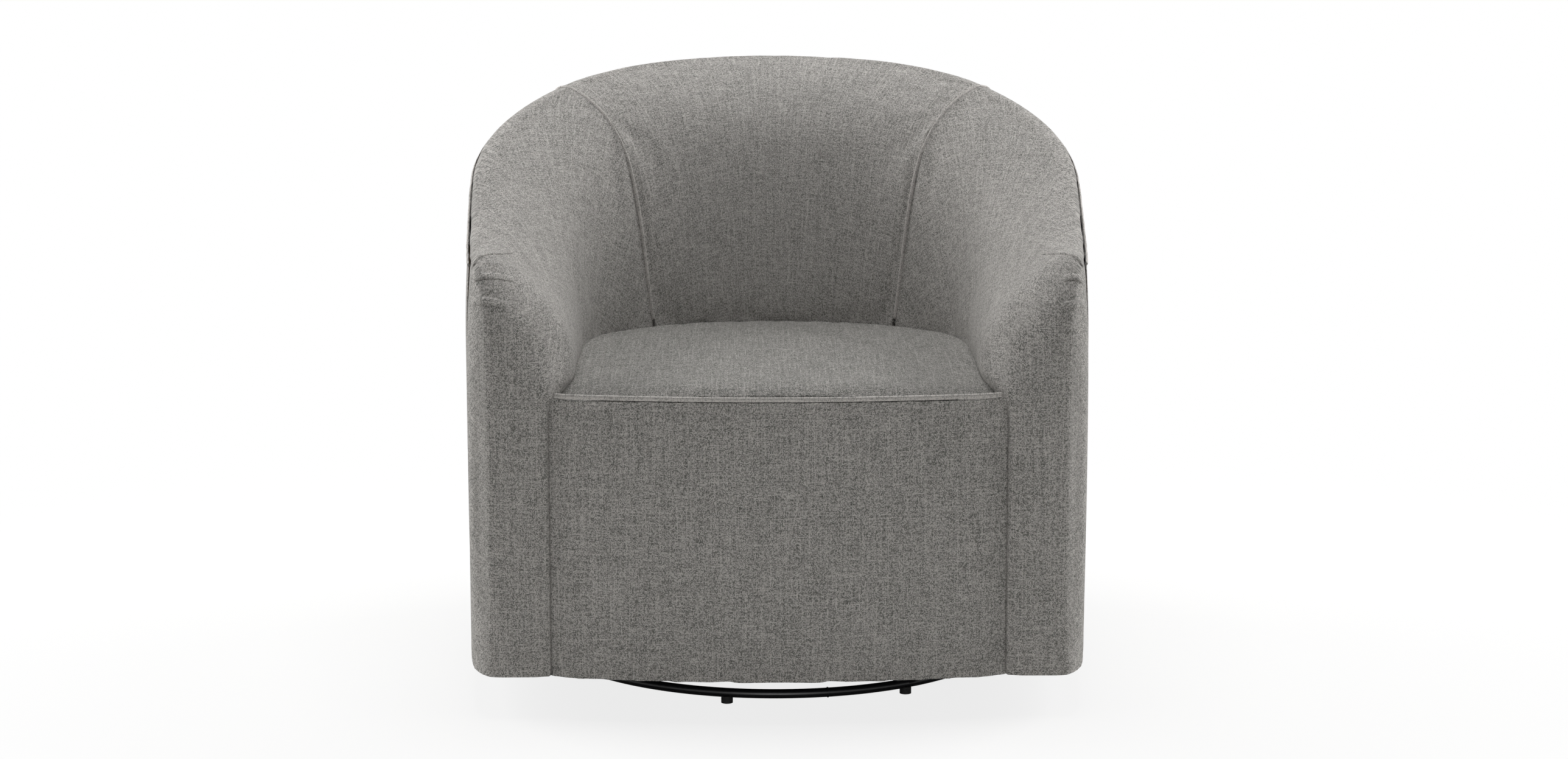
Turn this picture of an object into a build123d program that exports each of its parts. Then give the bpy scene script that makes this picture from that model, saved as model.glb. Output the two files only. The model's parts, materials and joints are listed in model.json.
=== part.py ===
from build123d import *

import os
from math import cos, pi, radians, sin, sqrt

# Barrel swivel armchair: an upholstered tub on a wooden frame, turning on a ball bearing over a
# round floor ring. Millimetres, +Z up. The origin is on the floor on the swivel axis and the
# chair faces -Y.

os.makedirs("parts", exist_ok=True)

# Outside of the upholstery
barrel_radius = 405.0  # outside of the rounded back, from the swivel axis
front_taper = 25.0  # each side comes in this far from the axis to the arm fronts
arm_reach = 375.0  # arm fronts, ahead of the swivel axis
front_bow = 30.0  # swell of the front panel ahead of the arm fronts
skirt_height = 54.0  # lower edge of the covers above the floor
back_height = 766.0  # crest in the middle of the back
arm_height = 583.0  # crest at the front of the arms
crest_fall = 1.4  # how late the crest falls away from the middle of the back; 1 is a plain sine
edge_radius = 12.0  # outer top edge
edge_seam = 4.0  # seam of the inside and outside covers, below that rounded edge
nose_depth = 75.0  # length over which an arm rounds off to its front
nose_drop = 95.0  # height lost over that length
nose_inset = 22.0  # width lost on the outside over that length
nose_tuck = 4.0  # width lost on the inside over that length
seam_angle = 49.0  # upright seams of the inside back, each side of the middle

# Inside of the tub
seat_line = 414.0  # height where the seat meets the arms and the back
back_thickness = 233.0  # wall at the seat line, middle of the back
side_thickness = 155.0  # wall at the seat line, beside the axis
arm_thickness = 98.0  # wall at the seat line, at the arm fronts
back_lean = 0.24  # outward lean of the inside back per millimetre of height
arm_lean = 0.12  # outward lean of the inside of the arms
back_roll = 105.0  # height of the roll from the inside face to the crest, at the back
arm_roll = 85.0  # the same at the arm fronts

# Covers, foam and clearances
cover = 2.0  # thickness of a cover
lie = 0.3  # gap between pieces that lie on one another
seat_gap = 2.0  # gap between the seat and the tub around it
seat_crown = 16.0  # swell of the seat above its front edge
seat_fall = 4.0  # turned-down edge of the seat cover, down to its seam with the front panel
crown_radius = 3000.0
front_foam_depth = 11.0
front_return = 22.0  # the front cover turns back this far beside the arms
tuck_height = 270.0  # tub covers and foam end here, below the seat
tuck_behind = 30.0  # arm covers turn in this far behind the arm fronts, down to the floor
frame_space = 50.0  # room for the frame inside the outside cover
crest_foam = 48.0  # foam over the top rails
clear_of_walls = 60.0  # cutting shapes reach this far past the chair

# Wooden frame
board = 22.0  # thickness of rails and boards
frame_gap = 1.5  # frame to outside cover
rail_height = 80.0
top_rail_height = 60.0
upright_depth = 42.0
upright_width = 45.0
frame_lift = 4.0  # frame above the lower edge of the covers
seat_rail_height = 62.0
seat_rail_top = 362.0
seat_box_gap = 33.0  # side rails of the seat box inside the tub at the seat line
seat_box_inset = 100.0  # back rail of the seat box ahead of the inside back
board_inner = 38.0  # edge of each swivel board, from the axis
board_width = 80.0
post_width = 66.0
post_depth = 40.0
post_front_foam = 25.0
post_outer_gap = 9.0
block_leg = 50.0

# Springs
spring_count = 6
spring_margin = 6.0  # outermost springs to the side rails
spring_half_width = 24.0
spring_bars = 18
wire = 3.5
clip_length = 14.0
clip_width = 26.0
clip_height = 8.0
deck_thickness = 1.2

# Swivel
ring_radius = 305.0
bar_diameter = 12.0
glide_count = 8
glide_height = 7.0
glide_diameter = 15.0
glide_stem = 5.0
base_turn = -12.3  # first glide, degrees from the front towards the right
spoke_count = 4
spoke_width = 36.0
spoke_thickness = 6.0
spoke_inner = 42.0
spoke_foot = 22.0  # flat end lying on the ring
spoke_rise_length = 85.0
plate_thickness = 4.0
plate_side = 200.0
plate_corner = 8.0
race_radius = 70.0
lower_plate_radius = 88.0
ball_diameter = 8.0
ball_count = 18
groove_depth = 1.5
ball_play = 0.1
cage_width = 20.0
cage_thickness = 2.4
pin_diameter = 16.0
pin_head_diameter = 30.0
pin_head_height = 6.0
pin_play = 0.1
bushing_diameter = 24.0
bushing_flange = 34.0
bushing_flange_height = 3.0
washer_diameter = 36.0
washer_thickness = 3.0
nut_height = 13.0
nut_across = 24.0
pin_end = 3.0
bolt_diameter = 8.0
bolt_spread = 78.0
bolt_head_height = 5.5
bolt_head_across = 13.0
bolt_washer_diameter = 18.0
bolt_washer_thickness = 1.5
bolt_hole_play = 1.0
tee_barrel = 10.0
tee_depth = 14.0
tee_flange = 20.0
tee_flange_thickness = 1.5

# Heights and curves that follow
frame_bottom = skirt_height + frame_lift
front_half_width = barrel_radius - front_taper
side_radius = (arm_reach**2 + front_taper**2) / (2 * front_taper)
nose_start = nose_depth - arm_reach
seat_rear = barrel_radius - back_thickness
seat_side = barrel_radius - side_thickness
seat_front = front_half_width - arm_thickness
bow_radius = (seat_front**2 + front_bow**2) / (2 * front_bow)
bow_centre = bow_radius - arm_reach - front_bow
seat_peak = seat_line + seat_crown
seat_box_half = seat_side - seat_box_gap
seat_box_back = seat_rear - seat_box_inset
spring_reach = seat_box_half - board - spring_margin - spring_half_width
spring_spacing = 2 * spring_reach / (spring_count - 1)


def crest_at(y):
    """Height of the outer top edge at depth y, falling from the back to the arm fronts."""
    share = min(max((barrel_radius - y) / (barrel_radius - nose_start), 0.0), 1.0)
    return back_height - (back_height - arm_height) * sin(share * pi / 2) ** crest_fall


def outside_at(y, inset=0.0):
    """Half width of the outside at depth y, ahead of the axis."""
    return barrel_radius - side_radius + sqrt((side_radius - inset) ** 2 - y**2)


def inside_at(y):
    """Half width between the arms at the seat line, at depth y ahead of the axis."""
    share = (y + arm_reach) / arm_reach
    return seat_front - (seat_front - seat_side) * share**2


def inside_radius(angle):
    """Distance from the axis to the inside of the tub at the seat line, by degrees from the back."""
    return seat_rear + (seat_side - seat_rear) * sin(radians(angle)) ** 2


def roll_at(y):
    """Height of the roll from the inside face to the crest at depth y."""
    share = min(max((barrel_radius - y) / (barrel_radius - nose_start), 0.0), 1.0)
    return back_roll + (arm_roll - back_roll) * share


def radial_plane(angle):
    """Upright plane through the axis; its first direction points out at the angle from the back."""
    out = (sin(radians(angle)), cos(radians(angle)), 0)
    across = (cos(radians(angle)), -sin(radians(angle)), 0)
    return Plane(origin=(0, 0, 0), x_dir=out, z_dir=across)


def cross_plane(y):
    """Upright plane across the chair at depth y."""
    return Plane(origin=(0, y, 0), x_dir=(1, 0, 0), z_dir=(0, -1, 0))


def wall_section(plane, outer, inner, crest, roll, lean, inset, bottom):
    """Upright section of the tub wall, drawn inset from the outside of its covers."""
    outside = outer - inset
    inside = inner + inset
    top = crest - inset
    edge = max(edge_radius - inset, 3.0)
    roll_height = crest - roll
    bend = min(seat_line, roll_height - 30)
    roll_start = inside + lean * (roll_height - bend)
    turn = edge * sqrt(0.5)
    with BuildSketch(plane) as section:
        with BuildLine():
            Line((outside, bottom), (outside, top - edge))
            ThreePointArc(
                (outside, top - edge),
                (outside - edge + turn, top - edge + turn),
                (outside - edge, top),
            )
            TangentArc((roll_start, roll_height), (outside - edge, top), tangent=(lean, 1))
            Line((roll_start, roll_height), (inside, bend))
            Line((inside, bend), (inside, bottom))
            Line((inside, bottom), (outside, bottom))
        make_face()
    return section.sketch


def back_section(angle, inset, bottom):
    """Section of the tub wall through the axis, by degrees from the middle of the back."""
    turn = sin(radians(angle)) ** 2
    y = barrel_radius * cos(radians(angle))
    lean = back_lean + (arm_lean - back_lean) * turn
    return wall_section(
        radial_plane(angle),
        barrel_radius,
        inside_radius(angle),
        crest_at(y),
        roll_at(y),
        lean,
        inset,
        bottom,
    )


def arm_section(y, inset, bottom):
    """Section of the right arm across the chair at depth y, behind its rounded front."""
    return wall_section(
        cross_plane(y),
        outside_at(y),
        inside_at(y),
        crest_at(y),
        roll_at(y),
        arm_lean,
        inset,
        bottom,
    )


def nose_section(turn, inset, bottom):
    """Section in the rounded front of the right arm, by degrees from its start to its front."""
    y = nose_start - (nose_depth - inset) * sin(radians(turn))
    loss = 1 - cos(radians(turn))
    return wall_section(
        cross_plane(y),
        outside_at(y) - nose_inset * loss,
        inside_at(y) + nose_tuck * loss,
        arm_height - nose_drop * loss,
        roll_at(y),
        arm_lean,
        inset,
        bottom,
    )


def arm_lofts(inset, bottom, overrun=0.0):
    """Sections of the right arm in three runs: round the corner, along the side, over the front."""
    start = seam_angle - overrun
    corner = [back_section(angle, inset, bottom) for angle in (start, (start + 90) / 2, 90)]
    side = [arm_section(nose_start * share, inset, bottom) for share in (0.0, 0.5, 1.0)]
    front = [nose_section(turn, inset, bottom) for turn in (0, 30, 60, 90)]
    return corner, side, front


def back_sections(inset, bottom, overrun=0.0):
    """Sections of the inside back from its left seam to its right seam."""
    end = seam_angle + overrun
    return [back_section(angle, inset, bottom) for angle in (-end, -end / 2, 0, end / 2, end)]


def side_band(outer, inner, front):
    """Plan of the right side between two insets of the outside, from depth front to the axis."""
    with BuildSketch() as plan:
        with BuildLine():
            ThreePointArc(
                (outside_at(front, outer), front),
                (outside_at(front / 2, outer), front / 2),
                (barrel_radius - outer, 0),
            )
            Line((barrel_radius - outer, 0), (barrel_radius - inner, 0))
            ThreePointArc(
                (barrel_radius - inner, 0),
                (outside_at(front / 2, inner), front / 2),
                (outside_at(front, inner), front),
            )
            Line((outside_at(front, inner), front), (outside_at(front, outer), front))
        make_face()
    return plan.sketch


def back_band(outer, inner):
    """Plan of the back half between two insets of the outside."""
    with BuildSketch() as plan:
        with BuildLine():
            CenterArc((0, 0), barrel_radius - outer, 0, 180)
            Line((outer - barrel_radius, 0), (inner - barrel_radius, 0))
            CenterArc((0, 0), barrel_radius - inner, 180, -180)
            Line((barrel_radius - inner, 0), (barrel_radius - outer, 0))
        make_face()
    return plan.sketch


def under_crest(drop, bottom):
    """Side view of everything lower than the crest by the drop."""
    front = -arm_reach - 40
    rear = barrel_radius + 40
    steps = 10
    depths = [front + (barrel_radius - front) * step / steps for step in range(steps + 1)]
    line = [(y, crest_at(y) - drop) for y in depths]
    with BuildSketch(Plane.YZ) as side:
        with BuildLine():
            Spline(line)
            Line(line[-1], (rear, line[-1][1]))
            Line((rear, line[-1][1]), (rear, bottom))
            Line((rear, bottom), (front, bottom))
            Line((front, bottom), line[0])
        make_face()
    return side.sketch


def bow_band(outer, inner, left, right):
    """Plan of a strip that follows the swell of the front, between two insets."""
    with BuildSketch() as plan:
        with Locations((0, bow_centre)):
            Circle(bow_radius - outer)
            Circle(bow_radius - inner, mode=Mode.SUBTRACT)
        with Locations(((left + right) / 2, -arm_reach)):
            Rectangle(right - left, 4 * front_bow + 200, mode=Mode.INTERSECT)
    return plan.sketch


def seat_outline(inset):
    """Plan of the seat, inset from the inside of the tub and from the swell of the front."""
    half = seat_front - inset
    ahead = bow_centre - sqrt((bow_radius - inset) ** 2 - half**2)
    right = [(half, ahead)]
    right += [(inside_at(share * nose_start) - inset, share * nose_start) for share in (0.72, 0.36)]
    for angle in (90, 69, seam_angle, seam_angle / 2):
        reach = inside_radius(angle) - inset
        right.append((reach * sin(radians(angle)), reach * cos(radians(angle))))
    left = [(-x, y) for x, y in reversed(right)]
    with BuildSketch() as plan:
        with BuildLine():
            ThreePointArc((-half, ahead), (0, bow_centre - bow_radius + inset), (half, ahead))
            Spline(right + [(0, seat_rear - inset)] + left)
        make_face()
    return plan.sketch


def keep(part, label):
    """Names a finished piece and writes it to its own file."""
    part.label = label
    export_step(part, "parts/" + label + ".step")


# Floor ring, with a hole under it for the stem of each glide
ring_height = glide_height + bar_diameter / 2
ring_top = glide_height + bar_diameter
with BuildPart() as floor_ring:
    with Locations((0, 0, ring_height)):
        Torus(ring_radius, bar_diameter / 2)
    with PolarLocations(ring_radius, glide_count, start_angle=270 + base_turn):
        Cylinder(
            glide_stem / 2,
            ring_height,
            align=(Align.CENTER, Align.CENTER, Align.MIN),
            mode=Mode.SUBTRACT,
        )
keep(floor_ring.part, "floor_ring")

# Rubber glides: a puck that cradles the bar and a stem in its hole
with BuildPart() as floor_glides:
    with PolarLocations(ring_radius, glide_count, start_angle=270 + base_turn):
        Cylinder(
            glide_diameter / 2,
            glide_height + bar_diameter / 6,
            align=(Align.CENTER, Align.CENTER, Align.MIN),
        )
    with Locations((0, 0, ring_height)):
        Torus(ring_radius, bar_diameter / 2, mode=Mode.SUBTRACT)
    with PolarLocations(ring_radius, glide_count, start_angle=270 + base_turn):
        Cylinder(
            glide_stem / 2,
            ring_height,
            align=(Align.CENTER, Align.CENTER, Align.MIN),
        )
keep(floor_glides.part, "floor_glides")

# Bearing heights, worked down from the underside of the frame
upper_plate_bottom = frame_bottom - plate_thickness
ball_height = upper_plate_bottom + groove_depth - ball_play - ball_diameter / 2
lower_plate_top = ball_height - ball_diameter / 2 - ball_play + groove_depth
lower_plate_bottom = lower_plate_top - plate_thickness

# Cranked spokes from the ring up to the lower race plate
spoke_end = ring_radius + bar_diameter / 2
rise_outer = spoke_end - spoke_foot
rise_inner = rise_outer - spoke_rise_length
spoke_low = lower_plate_bottom - spoke_thickness
with BuildPart() as base_spokes:
    for turn in range(spoke_count):
        angle = 90 - (270 + base_turn + 360 / glide_count + turn * 360 / spoke_count)
        with BuildSketch(radial_plane(angle)):
            Polygon(
                (spoke_inner, spoke_low),
                (rise_inner, spoke_low),
                (rise_outer, ring_top),
                (spoke_end, ring_top),
                (spoke_end, ring_top + spoke_thickness),
                (rise_outer, ring_top + spoke_thickness),
                (rise_inner, lower_plate_bottom),
                (spoke_inner, lower_plate_bottom),
                align=None,
            )
        extrude(amount=spoke_width / 2, both=True)
keep(base_spokes.part, "base_spokes")

with BuildPart() as lower_race_plate:
    with Locations((0, 0, lower_plate_bottom)):
        Cylinder(
            lower_plate_radius,
            plate_thickness,
            align=(Align.CENTER, Align.CENTER, Align.MIN),
        )
        Cylinder(
            pin_diameter / 2,
            plate_thickness,
            align=(Align.CENTER, Align.CENTER, Align.MIN),
            mode=Mode.SUBTRACT,
        )
    with Locations((0, 0, ball_height)):
        Torus(race_radius, ball_diameter / 2 + ball_play, mode=Mode.SUBTRACT)
keep(lower_race_plate.part, "lower_race_plate")

with BuildPart() as bearing_balls:
    with Locations((0, 0, ball_height)):
        with PolarLocations(race_radius, ball_count):
            Sphere(ball_diameter / 2)
keep(bearing_balls.part, "bearing_balls")

with BuildPart() as ball_cage:
    with Locations((0, 0, ball_height)):
        Cylinder(race_radius + cage_width / 2, cage_thickness)
        Cylinder(race_radius - cage_width / 2, cage_thickness, mode=Mode.SUBTRACT)
        with PolarLocations(race_radius, ball_count):
            Cylinder(ball_diameter / 2 + 2 * ball_play, cage_thickness, mode=Mode.SUBTRACT)
keep(ball_cage.part, "ball_cage")

with BuildPart() as upper_race_plate:
    with Locations((0, 0, upper_plate_bottom)):
        Box(
            plate_side,
            plate_side,
            plate_thickness,
            align=(Align.CENTER, Align.CENTER, Align.MIN),
        )
    fillet(upper_race_plate.edges().filter_by(Axis.Z), plate_corner)
    with Locations((0, 0, upper_plate_bottom)):
        Cylinder(
            bushing_diameter / 2,
            plate_thickness,
            align=(Align.CENTER, Align.CENTER, Align.MIN),
            mode=Mode.SUBTRACT,
        )
        with GridLocations(2 * bolt_spread, 2 * bolt_spread, 2, 2):
            Cylinder(
                (bolt_diameter + bolt_hole_play) / 2,
                plate_thickness,
                align=(Align.CENTER, Align.CENTER, Align.MIN),
                mode=Mode.SUBTRACT,
            )
    with Locations((0, 0, ball_height)):
        Torus(race_radius, ball_diameter / 2 + ball_play, mode=Mode.SUBTRACT)
keep(upper_race_plate.part, "upper_race_plate")

# King pin, fixed in the lower plate and running in the bushing of the upper plate
bushing_top = frame_bottom + bushing_flange_height
washer_bottom = bushing_top + lie
nut_bottom = washer_bottom + washer_thickness
pin_top = nut_bottom + nut_height + pin_end
with BuildPart() as king_pin:
    with Locations((0, 0, lower_plate_bottom - pin_head_height)):
        Cylinder(
            pin_head_diameter / 2,
            pin_head_height,
            align=(Align.CENTER, Align.CENTER, Align.MIN),
        )
        Cylinder(
            pin_diameter / 2,
            pin_top - lower_plate_bottom + pin_head_height,
            align=(Align.CENTER, Align.CENTER, Align.MIN),
        )
    chamfer(king_pin.edges().sort_by(Axis.Z)[-1], 1.0)
keep(king_pin.part, "king_pin")

with BuildPart() as pivot_bushing:
    with Locations((0, 0, upper_plate_bottom)):
        Cylinder(
            bushing_diameter / 2,
            plate_thickness,
            align=(Align.CENTER, Align.CENTER, Align.MIN),
        )
    with Locations((0, 0, frame_bottom)):
        Cylinder(
            bushing_flange / 2,
            bushing_flange_height,
            align=(Align.CENTER, Align.CENTER, Align.MIN),
        )
    with Locations((0, 0, upper_plate_bottom)):
        Cylinder(
            pin_diameter / 2 + pin_play,
            plate_thickness + bushing_flange_height,
            align=(Align.CENTER, Align.CENTER, Align.MIN),
            mode=Mode.SUBTRACT,
        )
keep(pivot_bushing.part, "pivot_bushing")

with BuildPart() as king_pin_washer:
    with Locations((0, 0, washer_bottom)):
        Cylinder(
            washer_diameter / 2,
            washer_thickness,
            align=(Align.CENTER, Align.CENTER, Align.MIN),
        )
        Cylinder(
            pin_diameter / 2,
            washer_thickness,
            align=(Align.CENTER, Align.CENTER, Align.MIN),
            mode=Mode.SUBTRACT,
        )
keep(king_pin_washer.part, "king_pin_washer")

with BuildPart() as king_pin_nut:
    with BuildSketch(Plane.XY.offset(nut_bottom)):
        RegularPolygon(nut_across / 2, 6, major_radius=False)
        Circle(pin_diameter / 2, mode=Mode.SUBTRACT)
    extrude(amount=nut_height)
keep(king_pin_nut.part, "king_pin_nut")

# Swivel boards across the frame, one ahead of the axis and one behind it
board_middle = board_inner + board_width / 2
board_top = frame_bottom + board
rail_inner = frame_gap + cover + board
for label, side in (("front_swivel_board", -1), ("rear_swivel_board", 1)):
    with BuildPart() as swivel_board:
        with BuildSketch(Plane.XY.offset(frame_bottom)):
            with Locations((0, side * board_middle)):
                Rectangle(2 * barrel_radius, board_width)
            if side > 0:
                Circle(barrel_radius - rail_inner - lie, mode=Mode.INTERSECT)
            else:
                reach = outside_at(board_inner + board_width, rail_inner) - lie
                Rectangle(2 * reach, 2 * barrel_radius, mode=Mode.INTERSECT)
        extrude(amount=board)
        with Locations((0, 0, frame_bottom)):
            with Locations((-bolt_spread, side * bolt_spread), (bolt_spread, side * bolt_spread)):
                Cylinder(
                    tee_barrel / 2,
                    board,
                    align=(Align.CENTER, Align.CENTER, Align.MIN),
                    mode=Mode.SUBTRACT,
                )
    keep(swivel_board.part, label)

# Bolts from below through the upper plate into tee nuts let into the boards
head_top = upper_plate_bottom - bolt_washer_thickness
with BuildPart() as plate_bolts:
    with BuildSketch(Plane.XY.offset(head_top - bolt_head_height)):
        with GridLocations(2 * bolt_spread, 2 * bolt_spread, 2, 2):
            RegularPolygon(bolt_head_across / 2, 6, major_radius=False)
    extrude(amount=bolt_head_height)
    with BuildSketch(Plane.XY.offset(head_top)):
        with GridLocations(2 * bolt_spread, 2 * bolt_spread, 2, 2):
            Circle(bolt_diameter / 2)
    extrude(amount=board_top + tee_flange_thickness + 2 - head_top)
keep(plate_bolts.part, "plate_bolts")

with BuildPart() as plate_washers:
    with BuildSketch(Plane.XY.offset(head_top)):
        with GridLocations(2 * bolt_spread, 2 * bolt_spread, 2, 2):
            Circle(bolt_washer_diameter / 2)
            Circle(bolt_diameter / 2 + ball_play, mode=Mode.SUBTRACT)
    extrude(amount=bolt_washer_thickness)
keep(plate_washers.part, "plate_washers")

with BuildPart() as tee_nuts:
    with BuildSketch(Plane.XY.offset(board_top)):
        with GridLocations(2 * bolt_spread, 2 * bolt_spread, 2, 2):
            Circle(tee_flange / 2)
            Circle(bolt_diameter / 2, mode=Mode.SUBTRACT)
    extrude(amount=tee_flange_thickness)
    with BuildSketch(Plane.XY.offset(board_top - tee_depth)):
        with GridLocations(2 * bolt_spread, 2 * bolt_spread, 2, 2):
            Circle(tee_barrel / 2)
            Circle(bolt_diameter / 2, mode=Mode.SUBTRACT)
    extrude(amount=tee_depth)
keep(tee_nuts.part, "tee_nuts")

# Bottom rails: two sides, the bent back and the bowed front
rail_outer = frame_gap + cover
rail_top = frame_bottom + rail_height
post_back = post_front_foam + post_depth - arm_reach
with BuildPart() as right_bottom_rail:
    extrude(
        side_band(rail_outer, rail_inner, post_back).moved(Location((0, 0, frame_bottom))),
        rail_height,
    )
keep(right_bottom_rail.part, "right_bottom_rail")

with BuildPart() as left_bottom_rail:
    mirror(right_bottom_rail.part, about=Plane.YZ)
keep(left_bottom_rail.part, "left_bottom_rail")

with BuildPart() as back_bottom_rail:
    extrude(back_band(rail_outer, rail_inner).moved(Location((0, 0, frame_bottom))), rail_height)
keep(back_bottom_rail.part, "back_bottom_rail")

front_rail_outer = cover + lie + front_foam_depth + lie
front_rail_inner = front_rail_outer + board
front_rail_half = seat_front - seat_gap - cover - 1
with BuildPart() as front_bottom_rail:
    extrude(
        bow_band(front_rail_outer, front_rail_inner, -front_rail_half, front_rail_half).moved(
            Location((0, 0, frame_bottom))
        ),
        rail_height,
    )
keep(front_bottom_rail.part, "front_bottom_rail")

# Arm posts at the front, standing inside the arm foam
post_outer = outside_at(post_back) - post_outer_gap - nose_inset / 4
post_inner = post_outer - post_width
post_top = arm_height - crest_foam - 45
with BuildPart() as right_arm_post:
    with BuildSketch(Plane.XY.offset(frame_bottom)):
        with Locations(((post_inner + post_outer) / 2, post_back - post_depth / 2)):
            Rectangle(post_width, post_depth)
    extrude(amount=post_top - frame_bottom)
keep(right_arm_post.part, "right_arm_post")

with BuildPart() as left_arm_post:
    mirror(right_arm_post.part, about=Plane.YZ)
keep(left_arm_post.part, "left_arm_post")

with BuildPart() as front_cross_board:
    front_edge = bow_centre - sqrt((bow_radius - front_rail_inner) ** 2 - front_rail_half**2) + lie
    with BuildSketch(Plane.XY.offset(frame_bottom)):
        with Locations((0, (front_edge + post_back) / 2)):
            Rectangle(2 * (post_inner - lie), post_back - front_edge)
    extrude(amount=board)
keep(front_cross_board.part, "front_cross_board")

# Top rails, cut to the fall of the crest
with BuildPart() as right_arm_rail:
    extrude(side_band(rail_outer, rail_inner, post_back), back_height)
    extrude(under_crest(crest_foam + 2, 0), barrel_radius, both=True, mode=Mode.INTERSECT)
    extrude(
        under_crest(crest_foam + 2 + top_rail_height, -clear_of_walls),
        barrel_radius + clear_of_walls,
        both=True,
        mode=Mode.SUBTRACT,
    )
keep(right_arm_rail.part, "right_arm_rail")

with BuildPart() as left_arm_rail:
    mirror(right_arm_rail.part, about=Plane.YZ)
keep(left_arm_rail.part, "left_arm_rail")

with BuildPart() as back_top_rail:
    extrude(back_band(rail_outer, rail_inner), back_height)
    extrude(under_crest(crest_foam + 2, 0), barrel_radius, both=True, mode=Mode.INTERSECT)
    extrude(
        under_crest(crest_foam + 2 + top_rail_height, -clear_of_walls),
        barrel_radius + clear_of_walls,
        both=True,
        mode=Mode.SUBTRACT,
    )
keep(back_top_rail.part, "back_top_rail")

# Uprights between the bottom rails and the top rails
upright_middle = barrel_radius - rail_outer - upright_depth / 2 - 2
with BuildPart() as back_uprights:
    with BuildSketch(Plane.XY.offset(rail_top)):
        with PolarLocations(upright_middle, 5, start_angle=26, angular_range=128, endpoint=True):
            Rectangle(upright_depth, upright_width)
    extrude(amount=back_height)
    extrude(
        under_crest(crest_foam + 2 + top_rail_height, 0),
        barrel_radius,
        both=True,
        mode=Mode.INTERSECT,
    )
keep(back_uprights.part, "back_uprights")

with BuildPart() as arm_uprights:
    arm_upright_y = post_back / 2
    with BuildSketch(Plane.XY.offset(rail_top)):
        middle = outside_at(arm_upright_y - upright_width / 2, rail_outer) - upright_depth / 2 - 1
        with Locations((-middle, arm_upright_y), (middle, arm_upright_y)):
            Rectangle(upright_depth, upright_width)
    extrude(amount=back_height)
    extrude(
        under_crest(crest_foam + 2 + top_rail_height, 0),
        barrel_radius,
        both=True,
        mode=Mode.INTERSECT,
    )
keep(arm_uprights.part, "arm_uprights")

# Seat box: front rail on two posts, back rail on two posts, side rails and corner blocks
seat_rail_bottom = seat_rail_top - seat_rail_height
with BuildPart() as seat_front_rail:
    extrude(
        bow_band(front_rail_outer, front_rail_inner, -front_rail_half, front_rail_half).moved(
            Location((0, 0, seat_rail_bottom))
        ),
        seat_rail_height,
    )
keep(seat_front_rail.part, "seat_front_rail")

with BuildPart() as seat_front_posts:
    extrude(
        bow_band(front_rail_outer, front_rail_inner, seat_box_half, seat_box_half + upright_width).moved(
            Location((0, 0, rail_top))
        ),
        seat_rail_bottom - rail_top,
    )
    mirror(about=Plane.YZ)
keep(seat_front_posts.part, "seat_front_posts")

with BuildPart() as seat_back_rail:
    with BuildSketch(Plane.XY.offset(seat_rail_bottom)):
        with Locations((0, seat_box_back - board / 2)):
            Rectangle(2 * seat_box_half, board)
    extrude(amount=seat_rail_height)
keep(seat_back_rail.part, "seat_back_rail")

with BuildPart() as seat_rear_posts:
    with BuildSketch(Plane.XY.offset(board_top)):
        with GridLocations(2 * seat_box_half - 2 * board, 0, 2, 1):
            with Locations((0, seat_box_back - board / 2)):
                Rectangle(2 * board, board)
    extrude(amount=seat_rail_bottom - board_top)
keep(seat_rear_posts.part, "seat_rear_posts")

side_rail_front = bow_centre - sqrt((bow_radius - front_rail_inner) ** 2 - seat_box_half**2) + lie
side_rail_back = seat_box_back - board
for label, side in (("left_seat_rail", -1), ("right_seat_rail", 1)):
    with BuildPart() as seat_side_rail:
        with BuildSketch(Plane.XY.offset(seat_rail_bottom)):
            with Locations((side * (seat_box_half - board / 2), (side_rail_front + side_rail_back) / 2)):
                Rectangle(board, side_rail_back - side_rail_front)
        extrude(amount=seat_rail_height)
    keep(seat_side_rail.part, label)

with BuildPart() as corner_blocks:
    reach = seat_box_half - board
    with BuildSketch(Plane.XY.offset(seat_rail_bottom + lie)):
        for side in (-1, 1):
            for corner, away in ((side_rail_back, -1), (side_rail_front + 2, 1)):
                with BuildLine():
                    Polyline(
                        (side * reach, corner),
                        (side * (reach - block_leg), corner),
                        (side * reach, corner + away * block_leg),
                        close=True,
                    )
                make_face()
    extrude(amount=seat_rail_height - board)
keep(corner_blocks.part, "corner_blocks")

# Sinuous springs from the front rail to the back rail, and their clips
wire_height = seat_rail_top + clip_height / 2
spring_end = seat_box_back - board / 2
front_rail_middle = (front_rail_outer + front_rail_inner) / 2
spring_places = []
for number in range(spring_count):
    x = (number - (spring_count - 1) / 2) * spring_spacing
    start = bow_centre - sqrt((bow_radius - front_rail_middle) ** 2 - x**2)
    spring_places.append((x, start))

with BuildPart() as sinuous_springs:
    for x, start in spring_places:
        pitch = (spring_end - start) / spring_bars
        points = []
        for bar in range(spring_bars + 1):
            hand = 1 if bar % 2 else -1
            points.append((x + hand * spring_half_width, start + bar * pitch, wire_height))
            points.append((x - hand * spring_half_width, start + bar * pitch, wire_height))
        with BuildLine() as path:
            FilletPolyline(*points, radius=pitch / 2 - 0.2)
        with BuildSketch(Plane(origin=path.line @ 0, z_dir=path.line % 0)):
            Circle(wire / 2)
        sweep(path=path.line)
keep(sinuous_springs.part, "sinuous_springs")

with BuildPart() as spring_clips:
    for x, start in spring_places:
        with Locations((x, start, wire_height), (x, spring_end, wire_height)):
            Box(clip_width, clip_length, clip_height)
            Cylinder(wire / 2 + lie / 2, clip_width, rotation=(0, 90, 0), mode=Mode.SUBTRACT)
keep(spring_clips.part, "spring_clips")

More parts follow.
